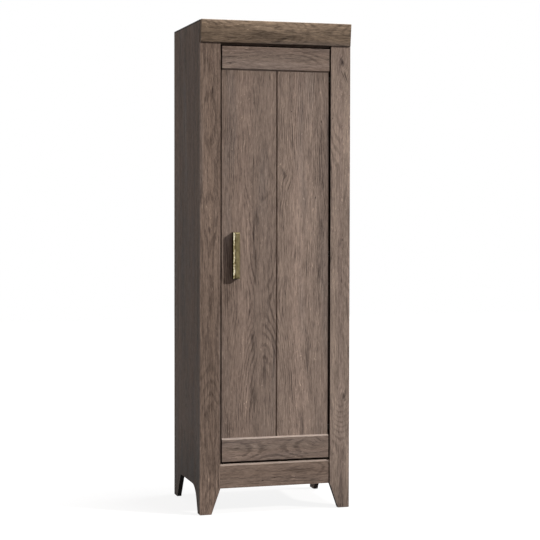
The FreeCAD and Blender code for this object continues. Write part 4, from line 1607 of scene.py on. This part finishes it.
@dataclass(frozen=True)
class Lamp:
    """A broad distant lamp.

    Attributes:
        name: Its name.
        towards: Direction from the cabinet to the lamp.
        strength: Its strength.
        spread: Its angular size, in degrees.
        tint: Its colour.
    """

    name: str
    towards: tuple[float, float, float]
    strength: float
    spread: float
    tint: tuple[float, float, float]

    def build(self) -> None:
        """Hangs the lamp."""
        data = bpy.data.lights.new(self.name, "SUN")
        data.energy = self.strength
        data.angle = math.radians(self.spread)
        data.color = self.tint
        lamp = bpy.data.objects.new(self.name, data)
        towards = Vector(self.towards)
        lamp.rotation_mode = "QUATERNION"
        lamp.rotation_quaternion = towards.to_track_quat("Z", "Y")
        lamp.location = towards * 4
        bpy.context.scene.collection.objects.link(lamp)


@dataclass
class Studio:
    """Camera, lamps, floor and background.

    Attributes:
        eye: The camera's place, in metres.
        yaw: How far it turns to the right, in degrees.
        pitch: How far it looks down, in degrees.
        roll: Its roll, in degrees.
        lens: Focal length, in millimetres.
        film: Width of the frame on the film, in millimetres.
        rise: Vertical shift of the frame.
        near: Nearest distance that the camera sees, in metres.
        far: Furthest distance that it sees, in metres.
        lamps: One lamp lights the front from the right, and one the upper edges from above.
        haze: Strength of the light from all round.
        haze_tint: Colour of that light.
        floor_reach: Half of the floor's width, in metres.
        floor_tone: Colour of the floor where it lights the cabinet.
        shadow_tone: Colour of the floor where the camera sees it, which sets its shadow's depth.
        floor_glow: Strength of the white that is added to it there.
    """

    eye: tuple[float, float, float] = (-1.5776, -5.5313, 1.1384)
    yaw: float = 16.2712
    pitch: float = 1.8698
    roll: float = -0.0978
    lens: float = 100.383
    film: float = 36.0
    rise: float = -0.03
    near: float = 0.05
    far: float = 60.0
    lamps: tuple[Lamp, ...] = (
        Lamp("key lamp", (1.55, -1.0, 1.0), 4.1, 4.0, (1.0, 0.96, 0.92)),
        Lamp("top lamp", (0.26, -0.06, 0.97), 3.7, 24.0, (0.94, 0.97, 1.0)),
    )
    haze: float = 0.44
    haze_tint: tuple[float, ...] = (0.99, 0.865, 0.8, 1.0)
    floor_reach: float = 9.0
    floor_tone: tuple[float, ...] = (0.12, 0.12, 0.125, 1.0)
    shadow_tone: tuple[float, ...] = (0.12, 0.12, 0.12, 1.0)
    floor_glow: float = 0.88

    def build(self) -> None:
        """Sets the stage."""
        self._camera()
        for lamp in self.lamps:
            lamp.build()
        self._world()
        self._floor()
        bpy.context.scene.view_settings.view_transform = "Standard"
        LOG.info("studio set")

    def _camera(self) -> None:
        """Stands the camera where the photograph was taken."""
        data = bpy.data.cameras.new("camera")
        data.lens = self.lens
        data.sensor_width = self.film
        data.shift_y = self.rise
        data.clip_start = self.near
        data.clip_end = self.far
        camera = bpy.data.objects.new("camera", data)
        camera.location = self.eye
        turns = (90 - self.pitch, self.roll, -self.yaw)
        camera.rotation_euler = [math.radians(turn) for turn in turns]
        bpy.context.scene.collection.objects.link(camera)
        bpy.context.scene.camera = camera

    def _world(self) -> None:
        """Shows white behind the cabinet, and lights it with a soft haze."""
        world = bpy.data.worlds.new("studio")
        bpy.context.scene.world = world
        world.use_nodes = True
        nodes, links = world.node_tree.nodes, world.node_tree.links
        nodes.clear()
        path = nodes.new("ShaderNodeLightPath")
        seen = path.outputs["Is Camera Ray"]
        for kind in ("Is Glossy Ray", "Is Transmission Ray"):
            either = nodes.new("ShaderNodeMath")
            either.operation = "MAXIMUM"
            links.new(seen, either.inputs[0])
            links.new(path.outputs[kind], either.inputs[1])
            seen = either.outputs[0]
        mix = nodes.new("ShaderNodeMixShader")
        links.new(seen, mix.inputs[0])
        backgrounds = ((self.haze_tint, self.haze), ((1.0, 1.0, 1.0, 1.0), 1.0))
        for index, (tint, strength) in enumerate(backgrounds, start=1):
            background = nodes.new("ShaderNodeBackground")
            background.inputs[0].default_value = tint
            background.inputs[1].default_value = strength
            links.new(background.outputs[0], mix.inputs[index])
        output = nodes.new("ShaderNodeOutputWorld")
        links.new(mix.outputs[0], output.inputs[0])

    def _floor(self) -> None:
        """Lays a plain pale floor that keeps a soft shadow."""
        def plane(shape: bmesh.types.BMesh) -> None:
            """Adds one large square.

            Args:
                shape: The mesh.
            """
            reach = self.floor_reach
            corners = ((-reach, -reach), (reach, -reach), (reach, reach), (-reach, reach))
            shape.faces.new([shape.verts.new((x, y, 0.0)) for x, y in corners])

        floor = drawn("floor", plane, False)
        sheet = ShaderSheet("pale floor")
        path = sheet.node("ShaderNodeLightPath")
        pale = sheet.node("ShaderNodeBsdfDiffuse")
        pale.inputs[0].default_value = self.floor_tone
        faint = sheet.node("ShaderNodeBsdfDiffuse")
        faint.inputs[0].default_value = self.shadow_tone
        glow = sheet.node("ShaderNodeEmission")
        glow.inputs[1].default_value = self.floor_glow
        lit = sheet.node("ShaderNodeAddShader")
        sheet.join(faint.outputs[0], lit.inputs[0])
        sheet.join(glow.outputs[0], lit.inputs[1])
        seen = sheet.maths("MAXIMUM", path.outputs["Is Camera Ray"], path.outputs["Is Glossy Ray"])
        seen = sheet.maths("MAXIMUM", seen, path.outputs["Is Transmission Ray"])
        mix = sheet.node("ShaderNodeMixShader")
        sheet.join(seen, mix.inputs[0])
        sheet.join(pale.outputs[0], mix.inputs[1])
        sheet.join(lit.outputs[0], mix.inputs[2])
        sheet.join(mix.outputs[0], sheet.output.inputs["Surface"])
        dress(floor, sheet.material)


def main() -> None:
    """Builds every piece in order."""
    logging.basicConfig(level=logging.INFO, format="%(name)s: %(message)s")
    Studio().build()
    nickel = PlatedSteel("nickel plate", (196, 194, 190), (150, 149, 146), 0.3).material()
    plated = PlatedSteel("plated screws", (170, 170, 168), (112, 112, 114), 0.34).material()
    Boards().dress()
    patina = AgedBrass("brass patina", (80, 71, 49), (102, 93, 67), (124, 114, 86), 0.6, 0.0002)
    # Rubbed brass, partly wear and partly a painted reflection on the pull's left bevel
    wear_and_highlight = AgedBrass("brass with wear and painted reflection", (104, 90, 56), (186, 172, 130), (246, 238, 212), 0.4, 0.0007, 190.0, 0.06)
    # Dark brass that is painted shade on the pull's sides
    painted_shade_brass = AgedBrass("brass in painted shade", (32, 24, 10), (48, 37, 17), (64, 52, 28), 0.7, 0.0002)
    BarPull().build(patina.material(), wear_and_highlight.material(), painted_shade_brass.material())
    Hinges().dress(nickel, plated)
    Fasteners().build(plated)
    SmallNodes().dress()


if __name__ == "__main__":
    main()
